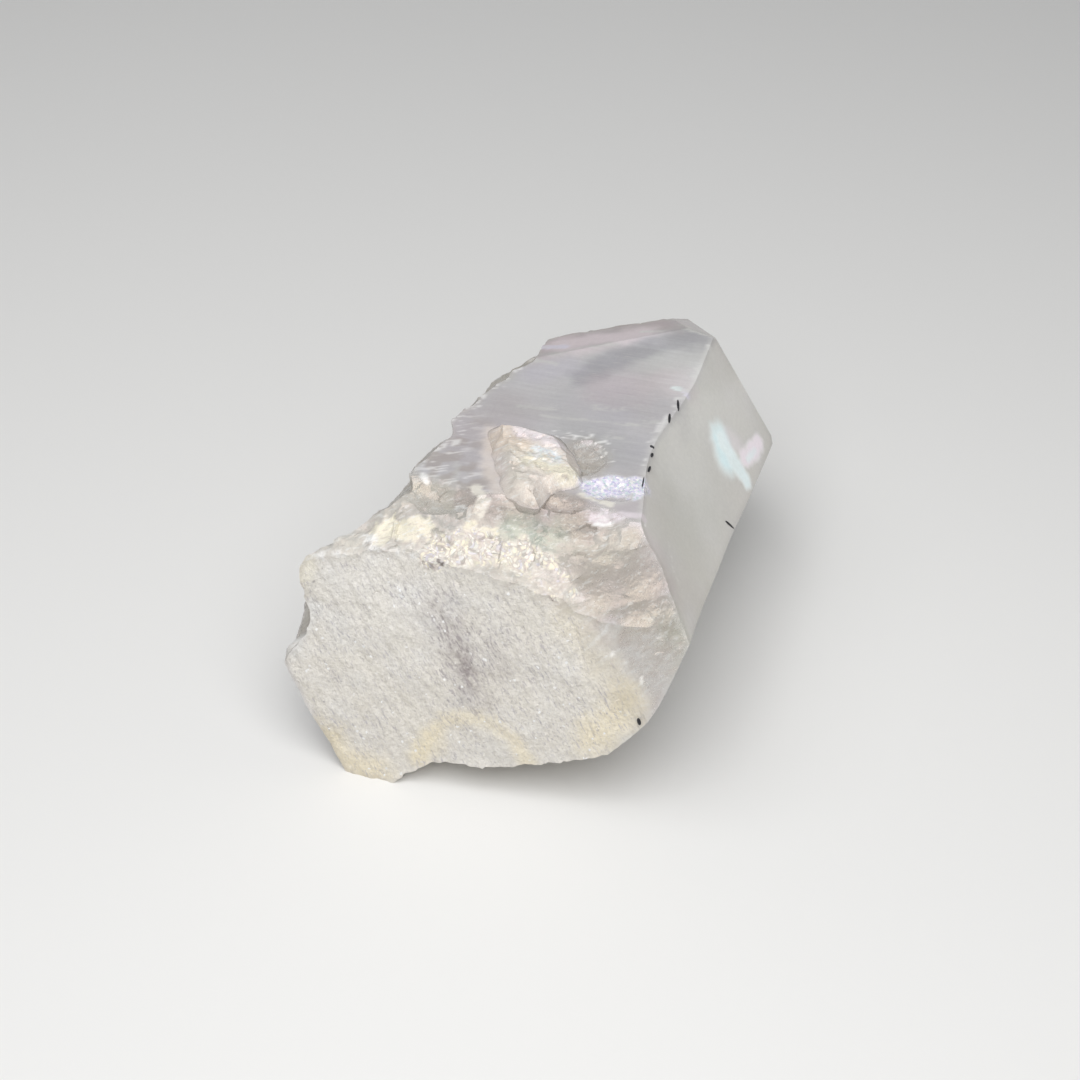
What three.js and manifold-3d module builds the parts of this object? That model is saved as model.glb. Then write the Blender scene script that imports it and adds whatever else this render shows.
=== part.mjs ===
// Rough quartz chunk: one broken prismatic quartz crystal, lying on a long face.
//
// Millimetres. Y runs along the crystal, from the broken base (-Y) to the hidden tip (+Y).
// X is to the right seen from the base and Z is up. The resting face is at Z = 0.
//
// The stone starts as a plain block and loses everything outside its faces. A face is
// given by its roll about Y (0 is right, 90 is up), its pitch towards the tip, and its
// reach, the distance of its plane from the working origin on the resting face.

import * as THREE from 'three';
import { mergeVertices } from 'three/addons/utils/BufferGeometryUtils.js';
import Module from 'manifold-3d';

const wasm = await Module();
wasm.setup();

// Driving dimensions
const HEIGHT = 31; // resting face to top prism face
const PRISM_ANGLE = 60; // between neighbouring prism faces
const TIP_PITCH = 38.2; // how far a tip face leans away from its prism face
const RIGHT_REACH = 28.32; // the broad face seen on the right
const RIGHT_TIP_REACH = 34.45;
const BASE_REACH = 26.22; // the sugary break across the crystal's foot
const BASE_PITCH = -77; // it leans back from the viewer by the rest of a right angle
const CRUST_RISE = 1; // how far the pale crust stands above the top face
const CRUST_SUNK = 1.2; // and how deep it goes

const BLOCK = 80; // side of the block that everything is cut from
const SLAB_SPAN = 144; // width of the material that one cut removes, past every corner of the block
const SLAB_DEPTH = 80; // and its thickness
const UNEVEN = 0.6; // how far a grid point may lie from its even place, as a share of a cell
const LEDGE_BEND = 0.7; // how far a ledge wanders, as a share of the spacing
const LEDGE_LUMP = 1.6; // and the size of its wandering, in spacings
const FLAKE_CELL = 2; // size of the facets in a shell-shaped hollow
const FLAKE_SIDES = 26; // with at least this many facets around it
const FLAKE_ROUGH = 0.2; // how far its skin wanders
const FLAKE_LUMP = 2.5; // and the size of that wandering
const SCATTER = [127.1, 311.7, 74.7, 43758.5453]; // mixes a lattice corner into a random number
const WELD = 1e-5; // corners closer than this are one
const RIGHT_UP = 90 - PRISM_ANGLE;

// Crystal faces, all flat
const crystalFaces = [
  { roll: 90, pitch: 0, reach: HEIGHT },
  { roll: -90, pitch: 0, reach: 0 },
  { roll: -90 - PRISM_ANGLE, pitch: 0, reach: 12.6 },
  { roll: 90, pitch: TIP_PITCH, reach: 38.5 },
  { roll: RIGHT_UP, pitch: TIP_PITCH, reach: RIGHT_TIP_REACH },
  { roll: -RIGHT_UP, pitch: TIP_PITCH, reach: 20 },
  { roll: -90, pitch: TIP_PITCH, reach: 11.1 },
  { roll: -90 - PRISM_ANGLE, pitch: TIP_PITCH, reach: 21 },
  { roll: 100.1, pitch: 15, reach: 32.76 }, // thin pink facet at the far edge of the top
  { roll: 79.4, pitch: 27.5, reach: 38.3 }, // small facet at the far right corner
];

// Broken faces, each a grid of cells with a relief, which is a sum of three things. Waves
// are rough, each with a size along the surface and a height. Swells are round rises (or
// hollows, if negative), each with a point, a radius and a height. Ledges are steps, with a
// direction up the surface, a spacing and a drop.
const brokenFaces = [
  {
    // right upper prism face, hollowed along its top edge
    roll: RIGHT_UP, pitch: 0, reach: RIGHT_REACH, cell: 2.2,
    waves: [],
    swells: [[12.5, -3, 31, 9, -1.9]],
  },
  {
    // base, like packed sugar
    roll: 90, pitch: BASE_PITCH, reach: BASE_REACH, cell: 1.4,
    waves: [[9, 0.5], [3.2, 0.35], [1.6, 0.3]],
    swells: [],
  },
  {
    // shoulder behind the rim, middle
    roll: 90, pitch: -31.6, reach: 33.85, cell: 1,
    waves: [[5, 0.6], [1.8, 0.35]],
    swells: [[6, -21.5, 26, 5, -1.6]],
    ledges: { up: [0.25, 0.8, 0.5], spacing: 3.1, drop: 0.9 },
  },
  {
    // shoulder, left
    roll: 106.8, pitch: -26.1, reach: 35.5, cell: 1.3,
    waves: [[6, 0.7], [2, 0.35]],
    swells: [],
  },
  {
    // shoulder, right
    roll: 65.3, pitch: -44.2, reach: 33.6, cell: 1.1,
    waves: [[5, 0.6], [1.8, 0.3]],
    swells: [[11, -15, 31, 4, 1.2]],
    ledges: { up: [-0.4, 0.5, 0.75], spacing: 4.2, drop: 0.8 },
  },
  {
    // smoother break at the lower right
    roll: 54.9, pitch: -64.6, reach: 30.2, cell: 1.6,
    waves: [[6, 0.5], [2.2, 0.2]],
    swells: [],
  },
  {
    // right lower prism face, which flares out near the base
    roll: -RIGHT_UP, pitch: -4.7, reach: 9, cell: 2.2,
    waves: [[8, 0.25]],
    swells: [[18, -23, 12, 8, 2.2]],
  },
  {
    // chipped underside of the base
    roll: -70, pitch: -11.5, reach: 2.4, cell: 1.8,
    waves: [[6, 0.6], [2.4, 0.3]],
    swells: [[-3.5, -26.5, 2, 4.5, -2], [15, -25, 8, 6, -0.6]],
  },
  {
    // left flank
    roll: 149.2, pitch: 12.4, reach: 21.3, cell: 2,
    waves: [[9, 0.9], [3.5, 0.5]],
    swells: [
      [-18.5, -22, 24, 6, 3.2], [-19.5, -23.5, 18, 3, -2.2], [-20.5, -19.5, 18, 3.5, -1.5],
      [-22.5, -24, 14, 5, -1.5], [-9, -3, 31, 7, 1.3],
    ],
    ledges: { up: [0.35, 0.55, 0.75], spacing: 11, drop: 1.1 },
  },
  {
    // break across the left of the tip
    roll: 138.8, pitch: 50, reach: 26.8, cell: 1.9,
    waves: [[8, 0.7], [3, 0.4]],
    swells: [],
    ledges: { up: [0.75, -0.1, 0.65], spacing: 9, drop: 0.9 },
  },
];

// Shell-shaped hollows where flakes came off: middle, half sizes along X, Y and Z
const scoops = [
  { at: [-7.6, -15.6, 35.3], half: [8.2, 4.2, 5.9] }, // lens-shaped facet at the left shoulder
  { at: [6.3, -5.6, 32.2], half: [3, 3.8, 2] }, // pit beside the crust
  { at: [5.6, -13.4, 31.8], half: [3.6, 1.5, 1.7] }, // pit below the crust
  { at: [9.9, -9.9, 32.2], half: [4, 3.2, 1.6] }, // shallow glittering patch near the edge
  { at: [-32.6, 10.4, 20.5], half: [22, 22, 22] }, // wide shallow hollow in the left flank
  { at: [-27, -8.8, 31.7], half: [16, 16, 16] }, // another, nearer the base
  { at: [-5.1, 38.6, 27.2], half: [18, 18, 18] }, // and one in the break at the tip
];

// Outline of the pale crust on the top face
const crustOutline = [
  [-4.1, -4], [-3.5, -3.1], [-1.3, -3], [2.8, -3.6], [4.5, -5.6], [6.7, -9.7],
  [5.2, -10.9], [3.8, -12], [3.4, -14.4], [1.8, -14.2], [0, -13], [-2, -8.6],
];

const crustTop = {
  roll: 86, pitch: 2, reach: HEIGHT + CRUST_RISE, cell: 0.9,
  waves: [[2.4, 0.35], [1.2, 0.15]],
};

// A number from 0 to 1 that depends only on the corner of the lattice
function scatter(i, j, k) {
  const wave = Math.sin(i * SCATTER[0] + j * SCATTER[1] + k * SCATTER[2]) * SCATTER[3];
  return wave - Math.floor(wave);
}

// Smooth random height from -1 to 1, with lumps of the given size
function roughness(point, size) {
  const at = [point.x / size, point.y / size, point.z / size];
  const low = at.map(Math.floor);
  const part = at.map((value, axis) => value - low[axis]);
  const blend = part.map((value) => value * value * (3 - 2 * value));
  let height = 0;
  for (let corner = 0; corner < 8; corner += 1) {
    const step = [corner & 1, (corner >> 1) & 1, corner >> 2];
    const share = step.reduce((all, on, axis) => all * (on ? blend[axis] : 1 - blend[axis]), 1);
    height += share * scatter(low[0] + step[0], low[1] + step[1], low[2] + step[2]);
  }
  return 2 * height - 1;
}

// How far the stone stands out of a face's plane at a point of that plane
function relief(face, point) {
  let height = 0;
  for (const [size, rise] of face.waves ?? []) {
    height += rise * roughness(point, size);
  }
  for (const [x, y, z, radius, rise] of face.swells ?? []) {
    const away = point.distanceTo(new THREE.Vector3(x, y, z));
    height += rise * Math.exp(-((away / radius) ** 2));
  }
  if (face.ledges) {
    const { up, spacing, drop } = face.ledges;
    const climb = point.dot(new THREE.Vector3(...up)) / spacing;
    const bent = climb + LEDGE_BEND * roughness(point, LEDGE_LUMP * spacing);
    height += drop * (0.5 - (bent - Math.floor(bent)));
  }
  return height;
}

function faceNormal(roll, pitch) {
  const turn = THREE.MathUtils.degToRad(roll);
  const lean = THREE.MathUtils.degToRad(pitch);
  const flat = Math.cos(lean);
  return new THREE.Vector3(Math.cos(turn) * flat, Math.sin(lean), Math.sin(turn) * flat);
}

// Closed geometry with shared corners as a solid
function solid(geometry) {
  const bare = geometry.clone();
  bare.deleteAttribute('normal');
  bare.deleteAttribute('uv');
  const merged = mergeVertices(bare, WELD);
  return new wasm.Manifold(new wasm.Mesh({
    numProp: 3,
    vertProperties: Float32Array.from(merged.attributes.position.array),
    triVerts: Uint32Array.from(merged.index.array),
  }));
}

// The material outside one face: a slab whose inner side is the face, with its relief
function outside(face) {
  const normal = faceNormal(face.roll, face.pitch);
  const steps = face.cell ? Math.round(SLAB_SPAN / face.cell) : 1;
  const slab = new THREE.BoxGeometry(SLAB_SPAN, SLAB_SPAN, SLAB_DEPTH, steps, steps, 1);
  slab.translate(0, 0, SLAB_DEPTH / 2);
  const turn = new THREE.Quaternion().setFromUnitVectors(new THREE.Vector3(0, 0, 1), normal);
  const places = slab.attributes.position;
  const point = new THREE.Vector3();
  for (let i = 0; i < places.count; i += 1) {
    point.fromBufferAttribute(places, i);
    const inner = point.z < SLAB_DEPTH / 2;
    if (inner && face.cell) {
      point.x += face.cell * UNEVEN * (scatter(point.x, point.y, 1) - 0.5);
      point.y += face.cell * UNEVEN * (scatter(point.x, point.y, 2) - 0.5);
    }
    point.applyQuaternion(turn).addScaledVector(normal, face.reach);
    if (inner && face.cell) {
      point.addScaledVector(normal, relief(face, point));
    }
    places.setXYZ(i, point.x, point.y, point.z);
  }
  return solid(slab);
}

// A round body with a rough skin, for a hollow where a flake came off
function flake({ at, half }) {
  const around = Math.max(FLAKE_SIDES, Math.round(2 * Math.PI * Math.max(...half) / FLAKE_CELL));
  const ball = new THREE.SphereGeometry(1, around, Math.round(around / 2));
  const places = ball.attributes.position;
  const point = new THREE.Vector3();
  for (let i = 0; i < places.count; i += 1) {
    point.fromBufferAttribute(places, i);
    const outward = point.clone();
    point.multiply(new THREE.Vector3(...half)).add(new THREE.Vector3(...at));
    point.addScaledVector(outward, FLAKE_ROUGH * roughness(point, FLAKE_LUMP));
    places.setXYZ(i, point.x, point.y, point.z);
  }
  return solid(ball);
}

// The crust: its outline drawn out to a plate, sunk into the top face, with a rough top
function crust() {
  const outline = new THREE.Shape(crustOutline.map(([x, y]) => new THREE.Vector2(x, y)).reverse());
  const plate = new THREE.ExtrudeGeometry(outline, {
    depth: CRUST_SUNK,
    bevelThickness: 2 * CRUST_RISE,
    bevelSize: CRUST_RISE,
    bevelOffset: -CRUST_RISE / 2,
    bevelSegments: 1,
  });
  plate.translate(0, 0, HEIGHT - CRUST_SUNK);
  return solid(plate).subtract(outside(crustTop));
}

function stone() {
  let body = solid(new THREE.BoxGeometry(BLOCK, BLOCK, BLOCK));
  for (const face of [...crystalFaces, ...brokenFaces]) {
    body = body.subtract(outside(face));
  }
  for (const scoop of scoops) {
    body = body.subtract(flake(scoop));
  }
  return body.add(crust());
}

// The finished stone, moved so that the middle of its footprint is the origin
function toGeometry(body) {
  const mesh = body.getMesh();
  const geometry = new THREE.BufferGeometry();
  geometry.setAttribute('position', new THREE.BufferAttribute(mesh.vertProperties, 3));
  geometry.setIndex(new THREE.BufferAttribute(mesh.triVerts, 1));
  geometry.computeBoundingBox();
  const middle = geometry.boundingBox.getCenter(new THREE.Vector3());
  geometry.translate(-middle.x, -middle.y, -geometry.boundingBox.min.z);
  return geometry;
}

const quartz = new THREE.MeshStandardMaterial({ color: 0xcfcbc8, roughness: 0.35, metalness: 0 });

const chunk = new THREE.Group();
const quartzChunk = new THREE.Mesh(toGeometry(stone()), quartz);
quartzChunk.name = 'quartz_chunk';
chunk.add(quartzChunk);

export default chunk;
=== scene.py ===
import math

import bpy
import numpy as np
from bpy.props import FloatProperty, FloatVectorProperty, PointerProperty
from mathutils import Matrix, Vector


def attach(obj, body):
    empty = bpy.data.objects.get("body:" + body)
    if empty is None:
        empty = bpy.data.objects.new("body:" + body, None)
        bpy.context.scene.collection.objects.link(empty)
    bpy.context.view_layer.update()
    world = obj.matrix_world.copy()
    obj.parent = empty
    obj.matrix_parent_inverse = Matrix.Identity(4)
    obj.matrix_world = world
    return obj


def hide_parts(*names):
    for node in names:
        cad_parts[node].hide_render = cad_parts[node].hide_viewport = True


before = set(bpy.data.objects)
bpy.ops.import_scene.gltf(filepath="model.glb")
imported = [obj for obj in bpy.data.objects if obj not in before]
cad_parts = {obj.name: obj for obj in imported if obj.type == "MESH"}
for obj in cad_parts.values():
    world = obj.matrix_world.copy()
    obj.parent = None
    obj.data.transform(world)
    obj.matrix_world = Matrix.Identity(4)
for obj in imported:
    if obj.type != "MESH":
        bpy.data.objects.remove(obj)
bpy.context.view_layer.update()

bl_info = {
    "name": "Rough quartz chunk",
    "version": (1, 0, 0),
    "blender": (4, 5, 0),
    "location": "3D View > Sidebar > Quartz",
    "description": "A broken quartz crystal with a pearly film, on a plain pale floor",
    "category": "Object",
}

# The solid that the stone stands for, its body, and the name of the stone that is made
SOLID = "quartz_chunk"
BODY = "root"
STONE = "quartz_stone"

MM = 0.001  # the stone is worked out in millimetres and finished in metres

# Where the faces' shared origin lies in the frame, in millimetres. It is on the resting
# surface, and every plane's reach is measured from it.
ORIGIN = np.array([0.01, -2.80, 0.0])

# The stone's main sizes, in millimetres and degrees
HEIGHT = 31.0  # resting face to top prism face
PRISM_ANGLE = 60.0  # between neighbouring prism faces
TIP_PITCH = 38.2  # how far a tip face leans away from its prism face
RIGHT_UP = 90.0 - PRISM_ANGLE  # roll of the upper right prism face
RIGHT_REACH = 28.32  # of that face
RIGHT_TIP_REACH = 34.45  # of the tip face beyond it
BASE_REACH = 26.22  # of the broken base
BASE_PITCH = -77.0
CRUST_RISE = 1.0  # how far the crust stands above the top face
CRUST_SUNK = 1.2  # how deep its foot starts below the top face

# How the surfaces are cut up, in millimetres
BLOCK_LOW = (-34.0, -36.0, -6.0)  # the block that everything is cut from
BLOCK_HIGH = (34.0, 44.0, 36.0)
SLAB_SPAN = 78.0  # half the width of the material that one cut removes
SLAB_DEPTH = 70.0  # and its depth
NEAR_PLANE = 2.6  # a face's fine cells reach all of the solid's corners this near its plane
FINE_MARGIN = 1.5  # and this far past them
CELL_GROWTH = 1.6  # outside them, each cell is wider than the last by this factor
WIDE_CELLS = 40  # more of these than any face needs
FLAT_CELL = 0.6  # of a face without relief

# How the relief's noise is made
SCATTER = (127.1, 311.7, 74.7, 43758.5453)  # mix of the three indices, and the sine's size
TURNED = np.array([[0.36, 0.48, -0.8], [-0.8, 0.6, 0.0], [0.48, 0.64, 0.6]])  # turns the lattice
CRUMB_LAYERS = (0.65, 0.5, 0.47)  # the heights of two layers, and the second's share of the size
LEDGE_BEND = 0.7  # how far a ledge wanders, as a share of the spacing
LEDGE_FRONT = 0.12  # the share of it that its steep front takes
LEDGE_LUMP = 1.6  # and the size of its wandering, in spacings
PLATE_BEND = 0.22  # how far the borders of small facets are bent, as a share of their size
PLATE_LUMP = 0.7  # and the size of that bending
PLATE_PLACES = (0.0, 17.3, 41.9)  # shifts of the noise that places a facet's middle
PLATE_LEANS = (5.1, 29.7, 63.3)  # and that leans it

# The run of the base's short pits, across its face from upper left to lower right
PIT_RUN = np.array([0.548, -0.188, -0.815])
PIT_STRETCH = 3.0


def plane(roll, pitch, reach, kind, hue, **forms):
    """A flat or broken face of the stone.

    The roll is about the crystal's length (0 is right, 90 is up), the pitch is towards the
    tip, and the reach is the plane's distance from the origin. Then come the kind of surface,
    its colour, its cell and its relief. Waves are rough, each with a size along the surface, a
    height and, where they run one way, a stretch and a direction. Swells are round rises, each
    a point, a radius and a height. Ledges are steps with a direction, a spacing and a drop.
    Creases are waves with sharp crests. Plates are small facets with a size and a lean.
    """
    return {"roll": roll, "pitch": pitch, "reach": reach, "kind": kind, "hue": hue, **forms}


# The waves of the top face's growth lines, and then every face
GROWTH_LINES = ((0.55, 0.02, 24.0, (1.0, 0.0, 0.0)), (1.7, 0.03, 14.0, (1.0, 0.0, 0.0)), (2.6, 0.05))
FACES = (
    # Prism faces: top, resting and lower left
    plane(90, 0, HEIGHT, "crystal", "mauve", cell=(0.4, 0.22), waves=GROWTH_LINES),
    plane(-90, 0, 0, "crystal", "khaki"),
    plane(-90 - PRISM_ANGLE, 0, 12.6, "crystal", "mauve"),
    # Tip faces, in order round the crystal
    plane(90, TIP_PITCH, 38.5, "crystal", "mauve"),
    plane(RIGHT_UP, TIP_PITCH, RIGHT_TIP_REACH, "crystal", "khaki"),
    plane(-RIGHT_UP, TIP_PITCH, 20, "crystal", "khaki"),
    plane(-90, TIP_PITCH, 11.1, "crystal", "khaki"),
    plane(-90 - PRISM_ANGLE, TIP_PITCH, 21, "crystal", "mauve"),
    # Two facets that take off the ridge behind the top face
    plane(100.1, 15, 32.76, "crystal", "rose", cell=(0.4, 0.4)),
    plane(79.4, 27.5, 38.3, "crystal", "mauve"),
    # Upper right prism face
    plane(RIGHT_UP, 0, RIGHT_REACH, "veiled", "khaki", cell=(0.32, 0.32),
          waves=((5.0, 0.05, 3.0, (0.5, 0.0, -0.866)),), swells=((12.5, -3, 31, 9, -1.9),)),
    # Broken base
    plane(90, BASE_PITCH, BASE_REACH, "sugar", "sugar", cell=(0.24, 0.24),
          waves=((9, 0.5), (3.2, 0.2), (1.3, 0.08), (0.5, 0.1, PIT_STRETCH, PIT_RUN), (0.35, 0.05)),
          plates=((0.5, 0.1),)),
    # Breaks between the base, the top face and the right face
    plane(90, -31.6, 33.85, "cream", "ground", cell=(0.24, 0.24), waves=((5, 0.6), (1.8, 0.1)),
          creases=((2.8, 0.25),), swells=((6, -21.5, 26, 5, -1.6),),
          ledges=((0.25, 0.8, 0.5), 3.1, 0.12), plates=((2.6, 0.1), (1.1, 0.07), (0.5, 0.06))),
    plane(106.8, -26.1, 35.5, "cream", "ground", cell=(0.24, 0.24), waves=((6, 0.7), (2, 0.1)),
          creases=((2.8, 0.25),), plates=((2.8, 0.11), (1.1, 0.08), (0.5, 0.05))),
    plane(65.3, -44.2, 33.6, "rough", "olive", cell=(0.26, 0.26), waves=((5, 0.6), (1.8, 0.15)),
          creases=((3.4, 0.3, 2.0, (0.55, 0.45, 0.7)),), swells=((11, -15, 31, 4, 1.2),),
          ledges=((-0.4, 0.5, 0.75), 4.2, 0.1), plates=((2.6, 0.05), (1.0, 0.04))),
    plane(54.9, -64.6, 30.2, "smooth", "pale", cell=(0.3, 0.3),
          waves=((6, 0.5), (2.2, 0.12), (1.1, 0.06, 5.0, (0.6, 0.1, 0.79))),
          creases=((3.2, 0.2, 3.0, (0.6, 0.1, 0.79)),), plates=((2.6, 0.04), (1.0, 0.03))),
    # Lower right prism face, and the rough corner below the base
    plane(-RIGHT_UP, -4.7, 9, "crystal", "khaki", cell=(0.6, 0.5), waves=((8, 0.25),),
          swells=((18, -23, 12, 8, 2.2),)),
    plane(-70, -11.5, 2.4, "sugar", "sugar", cell=(0.4, 0.4), waves=((6, 0.6), (2.4, 0.3), (0.9, 0.16)),
          swells=((-3.5, -26.5, 2, 4.5, -2), (15, -25, 8, 6, -0.6)), plates=((1.0, 0.25),)),
    # Left flank, and its end at the tip
    plane(149.2, 12.4, 21.3, "rough", "ground", cell=(0.36, 0.36),
          waves=((9, 0.9), (3.5, 0.5), (1.2, 0.12)),
          swells=((-18.5, -22, 24, 6, 3.2), (-19.5, -23.5, 18, 3, -2.2), (-20.5, -19.5, 18, 3.5, -1.5),
                  (-22.5, -24, 14, 5, -1.5), (-9, -3, 31, 7, 1.3)),
          ledges=((0.35, 0.55, 0.75), 11, 1.1), creases=((3.0, 0.25),),
          plates=((2.0, 0.15), (0.8, 0.08))),
    plane(138.8, 50, 26.8, "rough", "ground", cell=(0.4, 0.4), waves=((8, 0.7), (3, 0.4), (1.2, 0.12)),
          ledges=((0.75, -0.1, 0.65), 9, 0.9), creases=((3.0, 0.25),),
          plates=((2.2, 0.15), (0.9, 0.08))),
)

# The skins of shell-shaped hollows and of crumbly ones
SHELL = {"waves": ((2.5, 0.2), (0.9, 0.05)), "plates": ((1.3, 0.08),)}
CRUMBLY = {"waves": ((1.8, 0.12), (0.8, 0.05)), "plates": ((1.1, 0.1), (0.5, 0.07))}


def bowl(at, half, cell, kind, hue, skin=SHELL):
    """A round hollow: its middle, half sizes, cell, kind of surface, colour and skin."""
    return {"at": np.array(at), "half": np.array(half, float), "cell": cell, "kind": kind, "hue": hue, **skin}


SCOOPS = (
    bowl((-7.6, -15.6, 35.3), (8.2, 4.2, 5.9), 0.3, "smooth", "beige"),
    bowl((6.3, -5.6, 32.2), (3, 3.8, 2), 0.24, "rough", "beige", CRUMBLY),
    bowl((5.6, -13.4, 31.8), (3.6, 1.5, 1.7), 0.24, "rough", "brown", CRUMBLY),
    bowl((9.9, -9.9, 32.2), (4, 3.2, 1.6), 0.24, "rough", "mauve", CRUMBLY),
    bowl((-32.6, 10.4, 20.5), (22, 22, 22), 0.55, "smooth", "pale"),
    bowl((-27, -8.8, 31.7), (16, 16, 16), 0.5, "smooth", "pale"),
    bowl((-5.1, 38.6, 27.2), (18, 18, 18), 0.5, "smooth", "pale"),
)

# The pale crust on the top face, first its outline
CRUST_OUTLINE = (
    (-4.1, -4), (-3.5, -3.1), (-1.3, -3), (2.8, -3.6), (4.5, -5.6), (6.7, -9.7),
    (5.2, -10.9), (3.8, -12), (3.4, -14.4), (1.8, -14.2), (0, -13), (-2, -8.6),
)
CRUST_STEP = 0.3  # between two points of its side
CRUST_LEVELS = 9  # rings of points on its slanting side
CRUST_WOBBLE = (1.1, 0.28)  # size and height of the unevenness of its side
CRUST_FOOT = 0.6  # how far its foot stands out from the outline, as a share of the rise
CRUST_SLANT = 2.2  # and how far its side leans in over twice the rise
CRUST_TOP = plane(86, 2, HEIGHT + CRUST_RISE, "crust", "crust", cell=(0.2, 0.2),
                  waves=((2.4, 0.3), (1.2, 0.08)), creases=((1.2, 0.1),),
                  plates=((1.9, 0.1), (0.8, 0.1), (0.4, 0.08)))

# Each kind of surface: how much light passes into the stone, and how rough its shine is
KINDS = {
    "crystal": (0.43, 0.16),
    "veiled": (0.30, 0.16),
    "rough": (0.34, 0.30),
    "smooth": (0.36, 0.24),
    "cream": (0.22, 0.36),
    "sugar": (0.0, 0.60),
    "crust": (0.10, 0.40),
}
BROKEN_KINDS = {"cream": 1.0, "rough": 0.9, "smooth": 0.7}  # how strongly each carries veins

# How one finish turns into the next, in millimetres
NEAR_SURFACE = 4.0  # a point this near a plane counts its relief
KIND_SOFTNESS = 0.35
FAINT = 1e-9  # added to each weight, so that they never add up to nothing
CRUST_SEAM = 0.12  # the crust's finish starts this high above the top face
SHARP_ANGLE = 26.0  # an edge of more degrees than this is shaded as a sharp one

# Slow painted sheens of the film, laid into the clear faces' colour: colour, size of the clouds, shift and
# most share
SHEENS = (
    ("rose", 8.0, 3.7, 0.36),
    ("green", 7.0, 51.3, 0.25),
    ("lilac", 5.0, 87.9, 0.30),
)
SHEEN_LEVELS = (-0.1, 0.7)  # where a cloud starts and where it is full
SEE_THROUGH = (0.15, 0.45)  # the clearness at which a sheen starts to show and shows in full
VEIL = 0.7  # the share of the sheens that the veiled face hides

# Wear of the clear faces' edges: its reach, its share, and the noise that breaks it up
EDGE_SOFTNESS = 0.28
EDGE_WEAR = 0.6
WEAR_LUMP = 0.9
WEAR_LEVELS = (-0.3, 0.5)

TOP_LINES = 0.35  # how strongly growth lines show all over the top face, the first of FACES
FLASH_RUN = (-0.35, -0.45, 0.82)  # where the cracks under the surface throw the light

# The stone's materials: the clear faces, the base, the breaks, where the last two meet, and
# the bright patches of flakes and glitter
MATERIALS = (
    ("clear_quartz", ("lines",)),
    ("sugary_quartz", ("sugar",)),
    ("broken_quartz", ("lines", "broken")),
    ("rim_quartz", ("sugar", "broken")),
    ("bright_quartz", ("lines", "sugar", "broken", "flakes")),
)
MASK_SHOWS = 0.01  # a mask above this puts its finish into the triangle's material
MOST_TRIANGLES = 200000

# What a mark has besides its colour, its radius, its share and its path: how soft its border is,
# how far the border wanders, how it is broken up (size, level, stretch, run), how much light
# passes into the stone there, the flakes, glitter or white lines that it carries, how far a crack
# under it throws the light back, how much of the earlier masks it takes away, and its pits
MARK = {"soft": 0.22, "wander": 0.5, "broken": None, "clear": None, "flakes": 0.0, "glitter": 0.0,
        "lines": 0.0, "flash": 0.0, "bare": 0.0, "pitted": 0.0}
MASKS = ("flakes", "glitter", "lines", "flash", "pitted")
BORDER_LUMP = (0.5, 0.8)  # the least lump of a mark's border, and its share of the radius
BROKEN_BLUR = 0.12  # half the softness of a broken mark's crumbs


def spot(hue, radius, share, *path, **more):
    """A mark on the stone, along a path of points in millimetres from the faces' origin."""
    return {**MARK, "hue": hue, "radius": radius, "share": share, "path": path, **more}


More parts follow.
